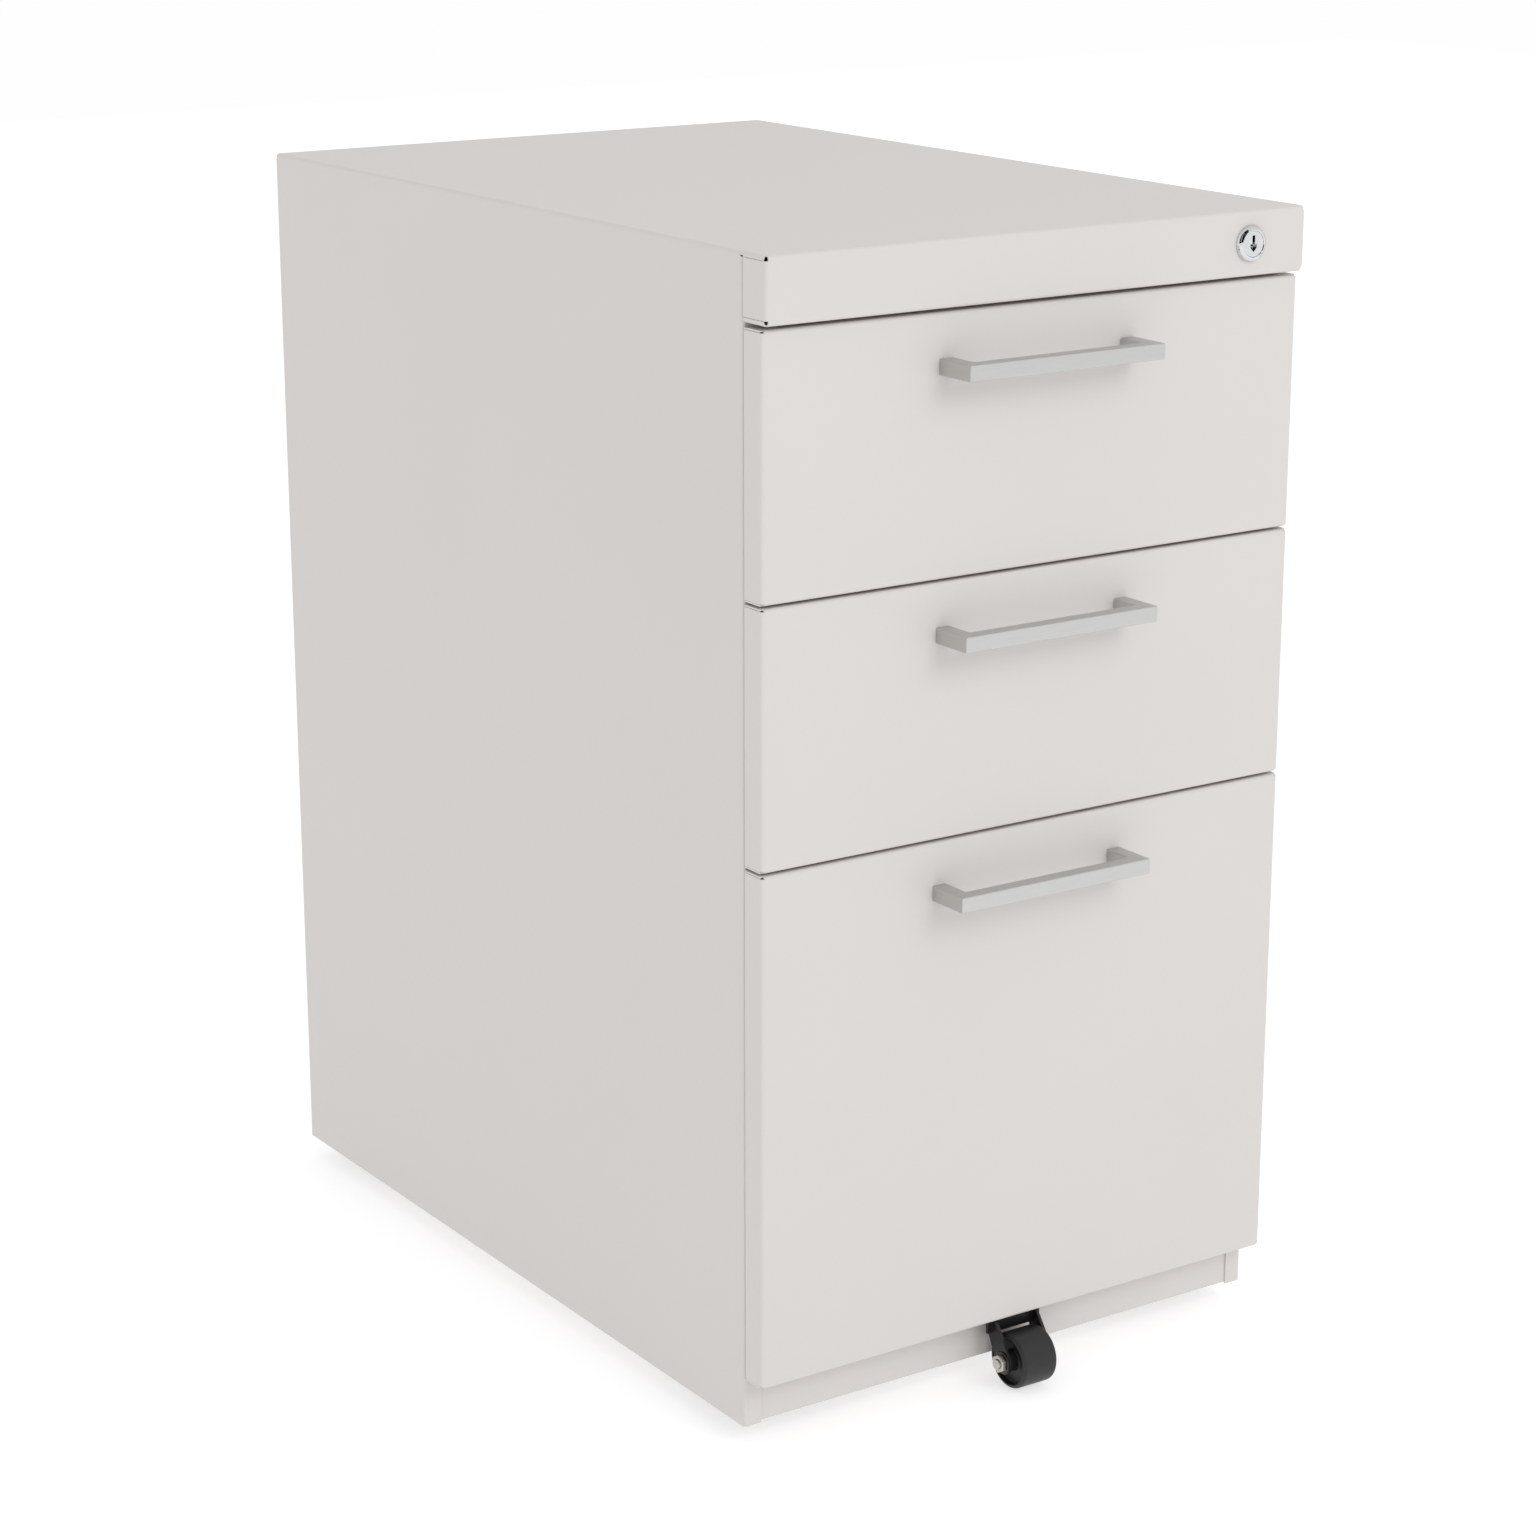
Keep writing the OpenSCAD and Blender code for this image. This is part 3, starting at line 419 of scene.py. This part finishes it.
def plateWithHole(low, high, centre, radius, y, steps=64):
    # A rectangle at depth y with a round hole: each point of the circle is joined to the corner of its
    # own quadrant, so the rectangle's edges have no points but their ends.
    angle = (np.arange(steps) + 0.5) * 2 * math.pi / steps
    c, s = np.cos(angle), np.sin(angle)
    grid = np.empty((2, steps, 3))
    grid[:, :, 1] = y
    grid[0, :, 0], grid[0, :, 2] = centre[0] + radius * c, centre[1] + radius * s
    grid[1, :, 0] = np.where(c > 0, high[0], low[0])
    grid[1, :, 2] = np.where(s > 0, high[1], low[1])
    return grid


def newPiece(name, patches, material, uv=None):
    # joins patches given in millimetres into one mesh in metres, and merges the points they share
    points, faces, count = [], [], 0
    for flat, quads in patches:
        points.append(flat)
        faces.append(quads + count)
        count += len(flat)
    mesh = bpy.data.meshes.new(name)
    mesh.from_pydata((np.vstack(points) * mm).tolist(), [], np.vstack(faces).tolist())
    if uv is not None:
        layer = mesh.uv_layers.new(name="UVMap")
        layer.data.foreach_set("uv", uv[np.vstack(faces).ravel()].ravel() * mm)
    work = bmesh.new()
    work.from_mesh(mesh)
    bmesh.ops.remove_doubles(work, verts=work.verts, dist=meshing["merge"] * mm)
    bmesh.ops.dissolve_degenerate(work, edges=work.edges, dist=meshing["sliver"] * mm)
    loose = [v for v in work.verts if not v.link_faces]
    bmesh.ops.delete(work, geom=loose, context="VERTS")
    work.to_mesh(mesh)
    work.free()
    mesh.materials.append(material)
    piece = bpy.data.objects.new(name, mesh)
    bpy.context.scene.collection.objects.link(piece)
    return piece


def finishEdges(piece, wall=0.0, bevel=0.0, angle=40):
    # wall thickens a sheet inwards, bevel softens the edges sharper than the angle, and the normals
    # are weighted by face area so that flats stay flat. The modifiers are then applied.
    if wall:
        solid = piece.modifiers.new("wall", "SOLIDIFY")
        solid.thickness, solid.offset = wall * mm, -1
    if bevel:
        soft = piece.modifiers.new("soft edges", "BEVEL")
        soft.width, soft.segments = bevel * mm, meshing["bevelSteps"]
        soft.limit_method, soft.angle_limit = "ANGLE", math.radians(angle)
        soft.use_clamp_overlap = True
    piece.data.shade_smooth()
    weight = piece.modifiers.new("flat faces", "WEIGHTED_NORMAL")
    weight.keep_sharp = True
    seen = piece.evaluated_get(bpy.context.evaluated_depsgraph_get())
    mesh = bpy.data.meshes.new_from_object(seen, preserve_all_data_layers=True,
                                           depsgraph=bpy.context.evaluated_depsgraph_get())
    old = piece.data
    piece.modifiers.clear()
    piece.data = mesh
    mesh.name = piece.name
    bpy.data.meshes.remove(old)
    return piece


def standsFor(piece, *nodes):
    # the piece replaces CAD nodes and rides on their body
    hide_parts(*nodes)
    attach(piece, cadNodes[nodes[0]]["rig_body"])
    return piece


def softened(node, bevel, name):
    # a copy of a CAD node, merged, its flats cleaned, and its edges softened
    mesh = cadNodes[node].data.copy()
    work = bmesh.new()
    work.from_mesh(mesh)
    bmesh.ops.remove_doubles(work, verts=work.verts, dist=meshing["cadMerge"] * mm)
    bmesh.ops.dissolve_limit(work, angle_limit=math.radians(meshing["flat"]), verts=work.verts,
                             edges=work.edges)
    work.to_mesh(mesh)
    work.free()
    piece = bpy.data.objects.new(name, mesh)
    bpy.context.scene.collection.objects.link(piece)
    return standsFor(finishEdges(piece, bevel=bevel), node)


# the case, folded from one sheet
caseSheet = {
    "steel": 1.0,
    "bend": 2.2,         # outside radius of the folds
    "flange": 12,        # turned in along the front and back of the sides
    "railGap": 2.5,      # from the top drawer's front up to the rail
    "slit": 0.6,         # between the side panels and the rail's end flaps
    "upturn": 3.0,       # the bottom fold's ends, turned up the side
    "seam": 0.2,         # thin line between two edges that meet
    "dimple": 0.9,       # height of the relief hole at the slit's top
    "lip": 0.8,          # the top's side bend, ahead of the side panel
    "lockHole": 9.1,     # radius of the hole for the lock
    "lockPlate": 15,     # half width of the face round it
    "softEdge": 0.12,
}


def caseShell():
    # Top, front rail and back flange are one profile drawn across; the side bends, side panels, rail
    # ends and upturned ends are profiles drawn along. They share edges, and corners are left open as
    # the relief that a press brake needs.
    s = caseSheet
    low, high = boxOf("case_wrap")
    sideX, backY, railY, topZ, lowZ = high[0], high[1], low[1], high[2], low[2]
    seamY = boxOf("base_pan")[0][1] - 2 * s["steel"]
    railZ = boxOf("top_front")[1][2] + s["railGap"]
    r, flat = s["bend"], sideX - s["bend"]
    endY = seamY - s["slit"]
    flapLow, flapHigh = railZ + s["upturn"] + s["seam"], topZ - r - s["lip"] - s["seam"]
    inward = sideX - s["flange"]
    middle = (0, 0, topZ / 2)
    start = flat - meshing["lead"]
    across = rounded(
        [(endY, railZ), (railY, railZ), (railY, flapLow), (railY, flapHigh), (railY, topZ), (endY, topZ),
         (seamY, topZ), (seamY + r, topZ), (backY, topZ), (backY, topZ - s["flange"])],
        [0, r, 0, 0, r, 0, 0, 0, r, 0], closed=False)
    clear = inward - s["seam"]
    lockLow, lockHigh = boxOf("lock_nut")
    lockX, lockZ = (lockLow[0] + lockHigh[0]) / 2, (lockLow[2] + lockHigh[2]) / 2
    hole0, hole1 = lockX - s["lockPlate"], lockX + s["lockPlate"]
    patches = [patch(
        drawn(across, (-flat, -clear, hole0, hole1, clear, flat), "yzx"),
        keep=lambda x, y, z: ((np.abs(x) < clear) | (y < backY - near) | (z > topZ - r))
        & ~((x > hole0) & (x < hole1) & (y < railY + near) & (z > flapLow) & (z < flapHigh)),
        inside=middle)]
    patches.append(patch(
        plateWithHole((hole0, flapLow), (hole1, flapHigh), (lockX, lockZ), s["lockHole"], railY),
        inside=middle, wrapCols=True))
    bend = rounded([(start, topZ), (sideX, topZ), (sideX, topZ - r - s["lip"])], [0, r, 0],
                   closed=False)[1:]
    sidePlan = rounded([(inward, seamY), (sideX, seamY), (sideX, backY), (inward, backY)], [0, r, r, 0],
                       closed=False)
    endPlan = rounded([(start, railY), (sideX, railY), (sideX, endY)], [0, r, 0], closed=False)[1:]
    upturn = rounded([(start, railZ), (sideX, railZ), (sideX, railZ + s["upturn"])], [0, r, 0],
                     closed=False)[1:]
    for side in (-1, 1):
        mirror = np.array([side, 1, 1])
        patches.append(patch(
            drawn(bend, (railY + r, endY, seamY, seamY + r, backY - r), "xzy") * mirror,
            keep=lambda x, y, z: (z > topZ - r) | (y < endY), inside=middle))
        patches.append(patch(
            drawn(sidePlan, (lowZ, topZ - r - s["dimple"], topZ - r), "xyz") * mirror,
            keep=lambda x, y, z: (z < topZ - r - s["dimple"])
            | ((np.abs(x) > sideX - near) & (y > seamY + r) & (y < backY - r)), inside=middle))
        patches.append(patch(drawn(endPlan, (flapLow, flapHigh), "xyz") * mirror, inside=middle))
        patches.append(patch(drawn(upturn, (railY + r, endY), "xzy") * mirror, inside=(0, railY, topZ)))
    shell = newPiece("case_shell", patches, finishes["greige_powder_coat"])
    return standsFor(finishEdges(shell, wall=s["steel"], bevel=s["softEdge"]), "case_wrap")


caseShell()
print("case folded")


# drawer fronts and the trays behind them
frontSheet = {
    "steel": 1.0,
    "bend": 2.2,
    "flapGap": 1.15,     # from a front's top or bottom down to its side flaps
    "relief": 0.8,       # how far the side bends run into the corner
    "inset": 0.2,        # the top and bottom flaps end short of the sides
    "behind": 40,        # a point this far behind the flaps is inside
    "softEdge": 0.12,
}
bodySheet = {
    "steel": 0.8,
    "bend": 2.0,
    "hem": 2.4,          # thickness of the hem folded inwards along the rim
    "hemDrop": 7,
    "hemBend": 1.1,
    "floorDrop": 30,     # from the slides' middle down to the floor
    "rimDrop": 36,       # from the front's top down to the rim
    "play": 0.1,         # between the sides and the back
    "softEdge": 0.1,
}


def drawerFront(drawer):
    # The face with its side flaps is one plan profile drawn upwards; the top and bottom flaps are
    # profiles drawn across. The corners between them stay open.
    s = frontSheet
    low, high = boxOf(drawer + "_front")
    x1, y0, y1, z0, z1 = high[0], low[1], high[1], low[2], high[2]
    r, flat = s["bend"], high[0] - s["bend"]
    middle = (0, y1 + s["behind"], (z0 + z1) / 2)
    plan = rounded([(-x1, y1), (-x1, y0), (x1, y0), (x1, y1)], [0, r, r, 0], closed=False)
    levels = (z0 + s["flapGap"], z0 + r - s["relief"], z0 + r,
              z1 - r, z1 - r + s["relief"], z1 - s["flapGap"])
    patches = [patch(
        drawn(plan, levels, "xyz"),
        keep=lambda x, y, z: ((z > z0 + r) & (z < z1 - r)) | (y > y0 + r)
        | ((np.abs(x) > flat) & (z > levels[1]) & (z < levels[4])), inside=middle)]
    for edge, turn in ((z0, 1), (z1, -1)):
        start = edge + turn * (r + meshing["lead"])
        flap = rounded([(y0, start), (y0, edge), (y1, edge)], [0, r, 0], closed=False)[1:]
        patches.append(patch(
            drawn(flap, (s["inset"] - x1, -flat, flat, x1 - s["inset"]), "yzx"),
            keep=lambda x, y, z: (np.abs(x) < flat) | (y > y0 + r), inside=middle))
    skin = newPiece(drawer + "_front_skin", patches, finishes["greige_powder_coat"])
    return standsFor(finishEdges(skin, wall=s["steel"], bevel=s["softEdge"]), drawer + "_front")


def drawerBody(drawer):
    # Floor and sides are one profile with hemmed rims drawn along the drawer; the back and the closing
    # panel behind the front are profiles drawn across.
    s = bodySheet
    low, high = boxOf(drawer + "_body")
    inLow, inHigh = boxOf(drawer + "_slide_inner")
    x1, panelX = boxOf(drawer + "_catch")[0][0], high[0]
    y0, y1 = low[1] + s["steel"], high[1]
    slideZ = (inLow[2] + inHigh[2]) / 2
    z0, z1 = slideZ - s["floorDrop"], boxOf(drawer + "_front")[1][2] - s["rimDrop"]
    r, hem, hb = s["bend"], s["hem"], s["hemBend"]
    middle = (0, (y0 + y1) / 2, (z0 + z1) / 2)
    rimZ, wall = z1 - s["hemDrop"], s["steel"] + s["play"]
    across = rounded(
        [(hem - x1, rimZ), (hem - x1, z1), (-x1, z1), (-x1, z0), (x1, z0), (x1, z1), (x1 - hem, z1),
         (x1 - hem, rimZ)], [0, hb, hb, r, r, hb, hb, 0], closed=False)
    back = rounded([(y1 - hem, rimZ), (y1 - hem, z1), (y1, z1), (y1, z0)], [0, hb, hb, 0], closed=False)
    patches = [
        patch(drawn(across, (y0, y1 - wall), "xzy"), inside=middle),
        patch(drawn(back, (wall - x1, x1 - wall), "yzx"), inside=middle),
        patch(drawn([(low[1], low[2]), (low[1], high[2])], (-panelX, panelX), "yzx"),
              inside=(0, y1, (low[2] + high[2]) / 2)),
    ]
    body = newPiece(drawer + "_tray", patches, finishes["greige_powder_coat"])
    return standsFor(finishEdges(body, wall=s["steel"], bevel=s["softEdge"]), drawer + "_body")


for drawer in drawers:
    drawerFront(drawer)
    drawerBody(drawer)
print("drawers folded")


# bar handles
handleBar = {"corner": 0.7, "mitre": 0.35}


def barHandle(drawer):
    # A square bar with rounded corners carried along a U: at each bend the section lies in the mitre
    # plane, so its width there is the bar's over the cosine of half the turn.
    low, high = boxOf(drawer + "_handle")
    bar = high[2] - low[2]
    h = bar / 2
    section = rounded([(-h, -h), (h, -h), (h, h), (-h, h)], handleBar["corner"], steps=4)
    path = np.array([(low[0] + h, high[1]), (low[0] + h, low[1] + h), (high[0] - h, low[1] + h),
                     (high[0] - h, high[1])])
    outward = np.array([(-1, 0), (-1, -1), (1, -1), (1, 0)], float)
    grid = np.empty((len(path), len(section), 3))
    grid[:, :, :2] = path[:, None] + outward[:, None] * section[None, :, :1]
    grid[:, :, 2] = (low[2] + high[2]) / 2 + section[None, :, 1]
    middle = path.mean(0)
    travelled = np.concatenate([[0], np.cumsum(np.linalg.norm(np.diff(path, axis=0), axis=1))])
    closedSection = np.vstack([section, section[:1]])
    girth = np.concatenate([[0], np.cumsum(np.linalg.norm(np.diff(closedSection, axis=0), axis=1))])
    full = np.concatenate([grid, grid[:, :1]], axis=1)
    uv = np.stack(np.meshgrid(travelled, girth, indexing="ij"), -1).reshape(-1, 2)
    flat, quads = patch(full)
    corner = flat[quads]
    normal = np.cross(corner[:, 2] - corner[:, 0], corner[:, 3] - corner[:, 1])
    barCentre = np.array([middle[0], low[1] + h, (low[2] + high[2]) / 2])
    facing = corner.mean(1)[:, 1] < low[1] + near
    if (normal[facing] * (corner.mean(1)[facing] - barCentre)).sum() < 0:
        quads = quads[:, ::-1]
    handle = newPiece(drawer + "_bar_handle", [(flat, quads)], finishes["satin_aluminium"], uv=uv)
    return standsFor(finishEdges(handle, bevel=handleBar["mitre"], angle=60), drawer + "_handle")


for drawer in drawers:
    barHandle(drawer)
print("handles mitred")


# lock
lockShape = {
    "bezel": 10.8,       # radius of the bezel
    "proud": 3.5,        # in front of the rail
    "rim": 0.6,          # thickness of the bezel's edge, where its dome starts
    "dome": (9.9, 2.6),  # radius and height of the dome's widest bend
    "lip": 0.9,          # width of the flat ring round the plug
    "chamfer": (0.25, 0.3),
    "bends": (0, 0.15, 0.8, 2.4, 0.5, 0.12, 0.1, 0.2, 0),     # radius at each corner, outside to inside
    "body": 8.9,         # radius of the threaded body
    "tail": 0.5,         # the body's end is this much smaller
    "bore": 7.55,
    "pitch": 1.0,        # of the thread
    "thread": 0.35,      # depth of the thread
    "plain": (2.5, 1),   # length without thread behind the bezel and at the end
    "softPlug": 0.12,
}


def lockBarrel():
    # Bezel, threaded body and bore turned as one closed profile. Along the thread the radius is
    # body - thread * (1 - cos(2 pi y / pitch)) / 2.
    s = lockShape
    low, high = boxOf("lock_cylinder")
    centre = ((low[0] + high[0]) / 2, low[1] + s["proud"], (low[2] + high[2]) / 2)
    end = high[1] - centre[1]
    y = np.arange(s["plain"][0], end - s["plain"][1], s["pitch"] / 8)
    thread = np.stack([s["body"] - s["thread"] * (1 - np.cos(2 * math.pi * y / s["pitch"])) / 2, y], 1)
    face, (wide, deep) = -s["proud"], s["chamfer"]
    front = rounded(
        [(s["body"], 0), (s["bezel"], 0), (s["bezel"], -s["rim"]), (s["dome"][0], -s["dome"][1]),
         (s["bore"] + s["lip"], face), (s["bore"] + wide, face), (s["bore"], face + deep),
         (s["bore"], end), (s["body"] - s["tail"], end)],
        s["bends"], steps=10, closed=False)
    profile = np.vstack([front, thread[::-1]])
    ring = patch(turned(profile, centre, "Y"), inside=centre, wrapRows=True, wrapCols=True)
    barrel = newPiece("lock_barrel", [ring], finishes["lock_chrome"])
    return standsFor(finishEdges(barrel), "lock_cylinder")


lockBarrel()
softened("lock_plug", lockShape["softPlug"], "lock_core")
print("lock turned")


# wheels: the anti-tip wheel's sizes, and what is different on the casters
tipTyre = {
    "hub": 6.5,          # radius of the hub
    "bore": 3.05,
    "proud": 1.4,        # the hub beyond the tyre
    "rim": 2.6,          # thickness of the rim
    "recess": 4.0,       # depth of the sides
    "edge": 2.4,         # radius of the tread's shoulders
    "fillet": 0.9,
    "corner": 0.5,
    "boreCorner": 0.3,
}
casterTyre = dict(tipTyre, hub=6.0, proud=0.7, rim=3.0, recess=2.5, edge=2.2, fillet=0.8)


def wheel(node, shape):
    # A closed profile of (radius, distance along the axle) turned round the axle: tread with rounded
    # shoulders, sides let in between rim and hub, and fillets where they meet.
    low, high = boxOf(node)
    centre = (low + high) / 2
    radius, hubEnd = (high[2] - low[2]) / 2, (high[0] - low[0]) / 2
    half, inner = hubEnd - shape["proud"], radius - shape["rim"]
    side = half - shape["recess"]
    right = [(radius, half), (inner, half), (inner, side), (shape["hub"], side), (shape["hub"], hubEnd),
             (shape["bore"], hubEnd)]
    left = [(r, -x) for r, x in right[::-1]]
    radii = [shape[k] for k in ("edge", "corner", "fillet", "fillet", "corner", "boreCorner")]
    profile = rounded(left + right, radii[::-1] + radii)
    ring = patch(turned(profile, centre, "X"), inside=centre, wrapRows=True, wrapCols=True)
    piece = newPiece(node + "_turned", [ring], finishes["black_nylon"])
    return standsFor(finishEdges(piece), node)


wheel("tip_wheel", tipTyre)
for caster in casters:
    wheel(caster + "_wheel", casterTyre)
print("wheels turned")


# drawer slides
slideShape = {
    "steel": 1.2,
    "bend": 2.0,
    "deep": 11.5,        # the fixed channels, from web to edge
    "curl": 1.6,         # the edges curl in round the balls
    "curlBend": 0.65,
    "tip": 0.4,          # how far a curl leans in, as a share of its height
    "middleCurl": 0.7,   # the middle members' curl, as a share of the fixed ones'
    "middleGap": 0.6,    # from the drawer's wall to the middle members
    "ball": 3.6,         # diameter of a ball
    "ballFromWall": 4.6,
    "pitch": 21,         # between balls
    "balls": 11,         # in a row
    "cage": 0.5,         # thickness of the ball cages
    "cageInset": 12,     # from a member's end to the first ball
    "cageEnd": 8,        # a cage goes on past its last ball
    "cageFromWall": 2.4,
    "rowInset": 1.9,     # from a channel's inside to a cage
    "outerCage": 1.3,    # from the middle member's web out to the outer cage
    "innerCage": 0.25,   # and in to the inner one
    "softEdge": 0.1,
}


def channel(webX, edgeX, half, z, curl):
    # outline of a channel from one curled edge round the web to the other
    s = slideShape
    turn = math.copysign(1, webX - edgeX)
    tip = edgeX + turn * s["tip"] * curl
    points = [(tip, z + half - curl), (edgeX, z + half), (webX, z + half),
              (webX, z - half), (edgeX, z - half), (tip, z - half + curl)]
    if not curl:
        return rounded(points[1:-1], [0, s["bend"], s["bend"], 0], closed=False)
    return rounded(points, [0, s["curlBend"], s["bend"], s["bend"], s["curlBend"], 0], closed=False)


def slideMember(name, nodes, levels, webX, edgeX, half, y0, y1, curl, material, wall):
    # a pair of channels at each level, drawn along the drawer's travel and thickened inwards
    patches = []
    for z in levels:
        profile = channel(webX, edgeX, half, z, curl)
        for side in (-1, 1):
            grid = drawn(profile, (y0, y1), "xzy") * np.array([side, 1, 1])
            patches.append(patch(grid, inside=(side * (webX + 3 * edgeX) / 4, (y0 + y1) / 2, z)))
    piece = finishEdges(newPiece(name, patches, material), wall=wall, bevel=slideShape["softEdge"])
    return standsFor(piece, *nodes) if nodes else piece


def ballRow(places, radius, rings=9, slices=14):
    # Balls on a grid: at latitude u and longitude v a point is radius (cos u cos v, cos u sin v, sin u)
    # from its place.
    u = np.linspace(-math.pi / 2, math.pi / 2, rings)[:, None]
    v = np.linspace(0, 2 * math.pi, slices, endpoint=False)[None, :]
    ball = radius * np.stack([np.cos(u) * np.cos(v), np.cos(u) * np.sin(v), np.sin(u) + 0 * v], -1)
    return [patch(ball + place, inside=place, wrapCols=True) for place in np.array(places, float)]


def slides():
    # Fixed, middle and inner members for each drawer. Between them run two sets of balls in cages: the
    # outer set near the middle member's rear end, the inner set near its front end.
    s = slideShape
    low, high = boxOf("slide_case_members")
    webX, edgeX = high[0], high[0] - s["deep"]
    levels = [sum(boxOf(d + "_slide_inner")[k][2] for k in (0, 1)) / 2 for d in drawers]
    half = high[2] - levels[0]
    slideMember("slide_fixed_channels", ["slide_case_members"], levels, webX, edgeX, half, low[1], high[1],
                s["curl"], slideSteel, s["steel"])
    for drawer, z in zip(drawers, levels):
        midLow, midHigh = boxOf(drawer + "_slide_middle")
        inLow, inHigh = boxOf(drawer + "_slide_inner")
        midHalf, inHalf = midHigh[2] - z, inHigh[2] - z
        wallX = boxOf(drawer + "_catch")[0][0]
        slideMember(drawer + "_middle_channels", [drawer + "_slide_middle"], [z], midHigh[0],
                    wallX + s["middleGap"], midHalf, midLow[1], midHigh[1], s["curl"] * s["middleCurl"],
                    slideSteel, s["steel"])
        slideMember(drawer + "_inner_channels", [drawer + "_slide_inner"], [z], wallX, inHigh[0], inHalf,
                    inLow[1], inHigh[1], 0, slideSteel, s["steel"])
        run = s["pitch"] * (s["balls"] - 1)
        rear, front = midHigh[1] - run - s["cageInset"], midLow[1] + s["cageInset"]
        inset = s["steel"] + s["rowInset"]
        gaps = ((rear, half - inset, midHigh[0] + s["outerCage"], "outer"),
                (front, midHalf - inset, midHigh[0] - s["steel"] - s["innerCage"], "inner"))
        for y, row, cageX, place in gaps:
            cage = slideMember(drawer + "_" + place + "_ball_cages", [], [z], cageX,
                               wallX + s["cageFromWall"], row, y - s["cageEnd"], y + run + s["cageEnd"], 0,
                               finishes["zinc_fasteners"], s["cage"])
            at = [(side * (wallX + s["ballFromWall"]), y + k * s["pitch"],
                   z + turn * (row - s["cage"] / 2))
                  for side in (-1, 1) for turn in (-1, 1) for k in range(s["balls"])]
            spheres = ballRow(at, s["ball"] / 2)
            balls = finishEdges(newPiece(drawer + "_" + place + "_balls", spheres, ballSteel))
            for piece in (cage, balls):
                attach(piece, cadNodes[drawer + "_slide_middle"]["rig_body"])


slides()
print("slides drawn")


# plates, posts, brackets and fasteners: how far the edges of each are softened
softEdges = {
    "back_panel": 0.15, "base_pan": 0.2, "plinth_panel": 0.2, "plain_posts": 0.2, "lock_post": 0.2,
    "cross_rails": 0.2, "slide_screws": 0.3, "lock_nut": 0.3, "lock_cam": 0.25, "lock_cam_screw": 0.2,
    "lock_bar": 0.15, "lock_link": 0.15, "lock_lugs": 0.2, "lock_bar_guides": 0.3, "folder_rails": 0.25,
    "tip_bracket": 0.35, "tip_axle": 0.35, "tip_nut": 0.3, "tip_washers": 0.15, "caster_plates": 0.3,
    "caster_screws": 0.3,
}
for drawer in drawers:
    softEdges[drawer + "_handle_screws"] = 0.3
    softEdges[drawer + "_catch"] = 0.4
for caster in casters:
    softEdges[caster + "_fork"] = 0.35
    softEdges[caster + "_axle"] = 0.3
for node, edge in softEdges.items():
    softened(node, edge, node + "_finished")
print("edges softened:", len(softEdges))
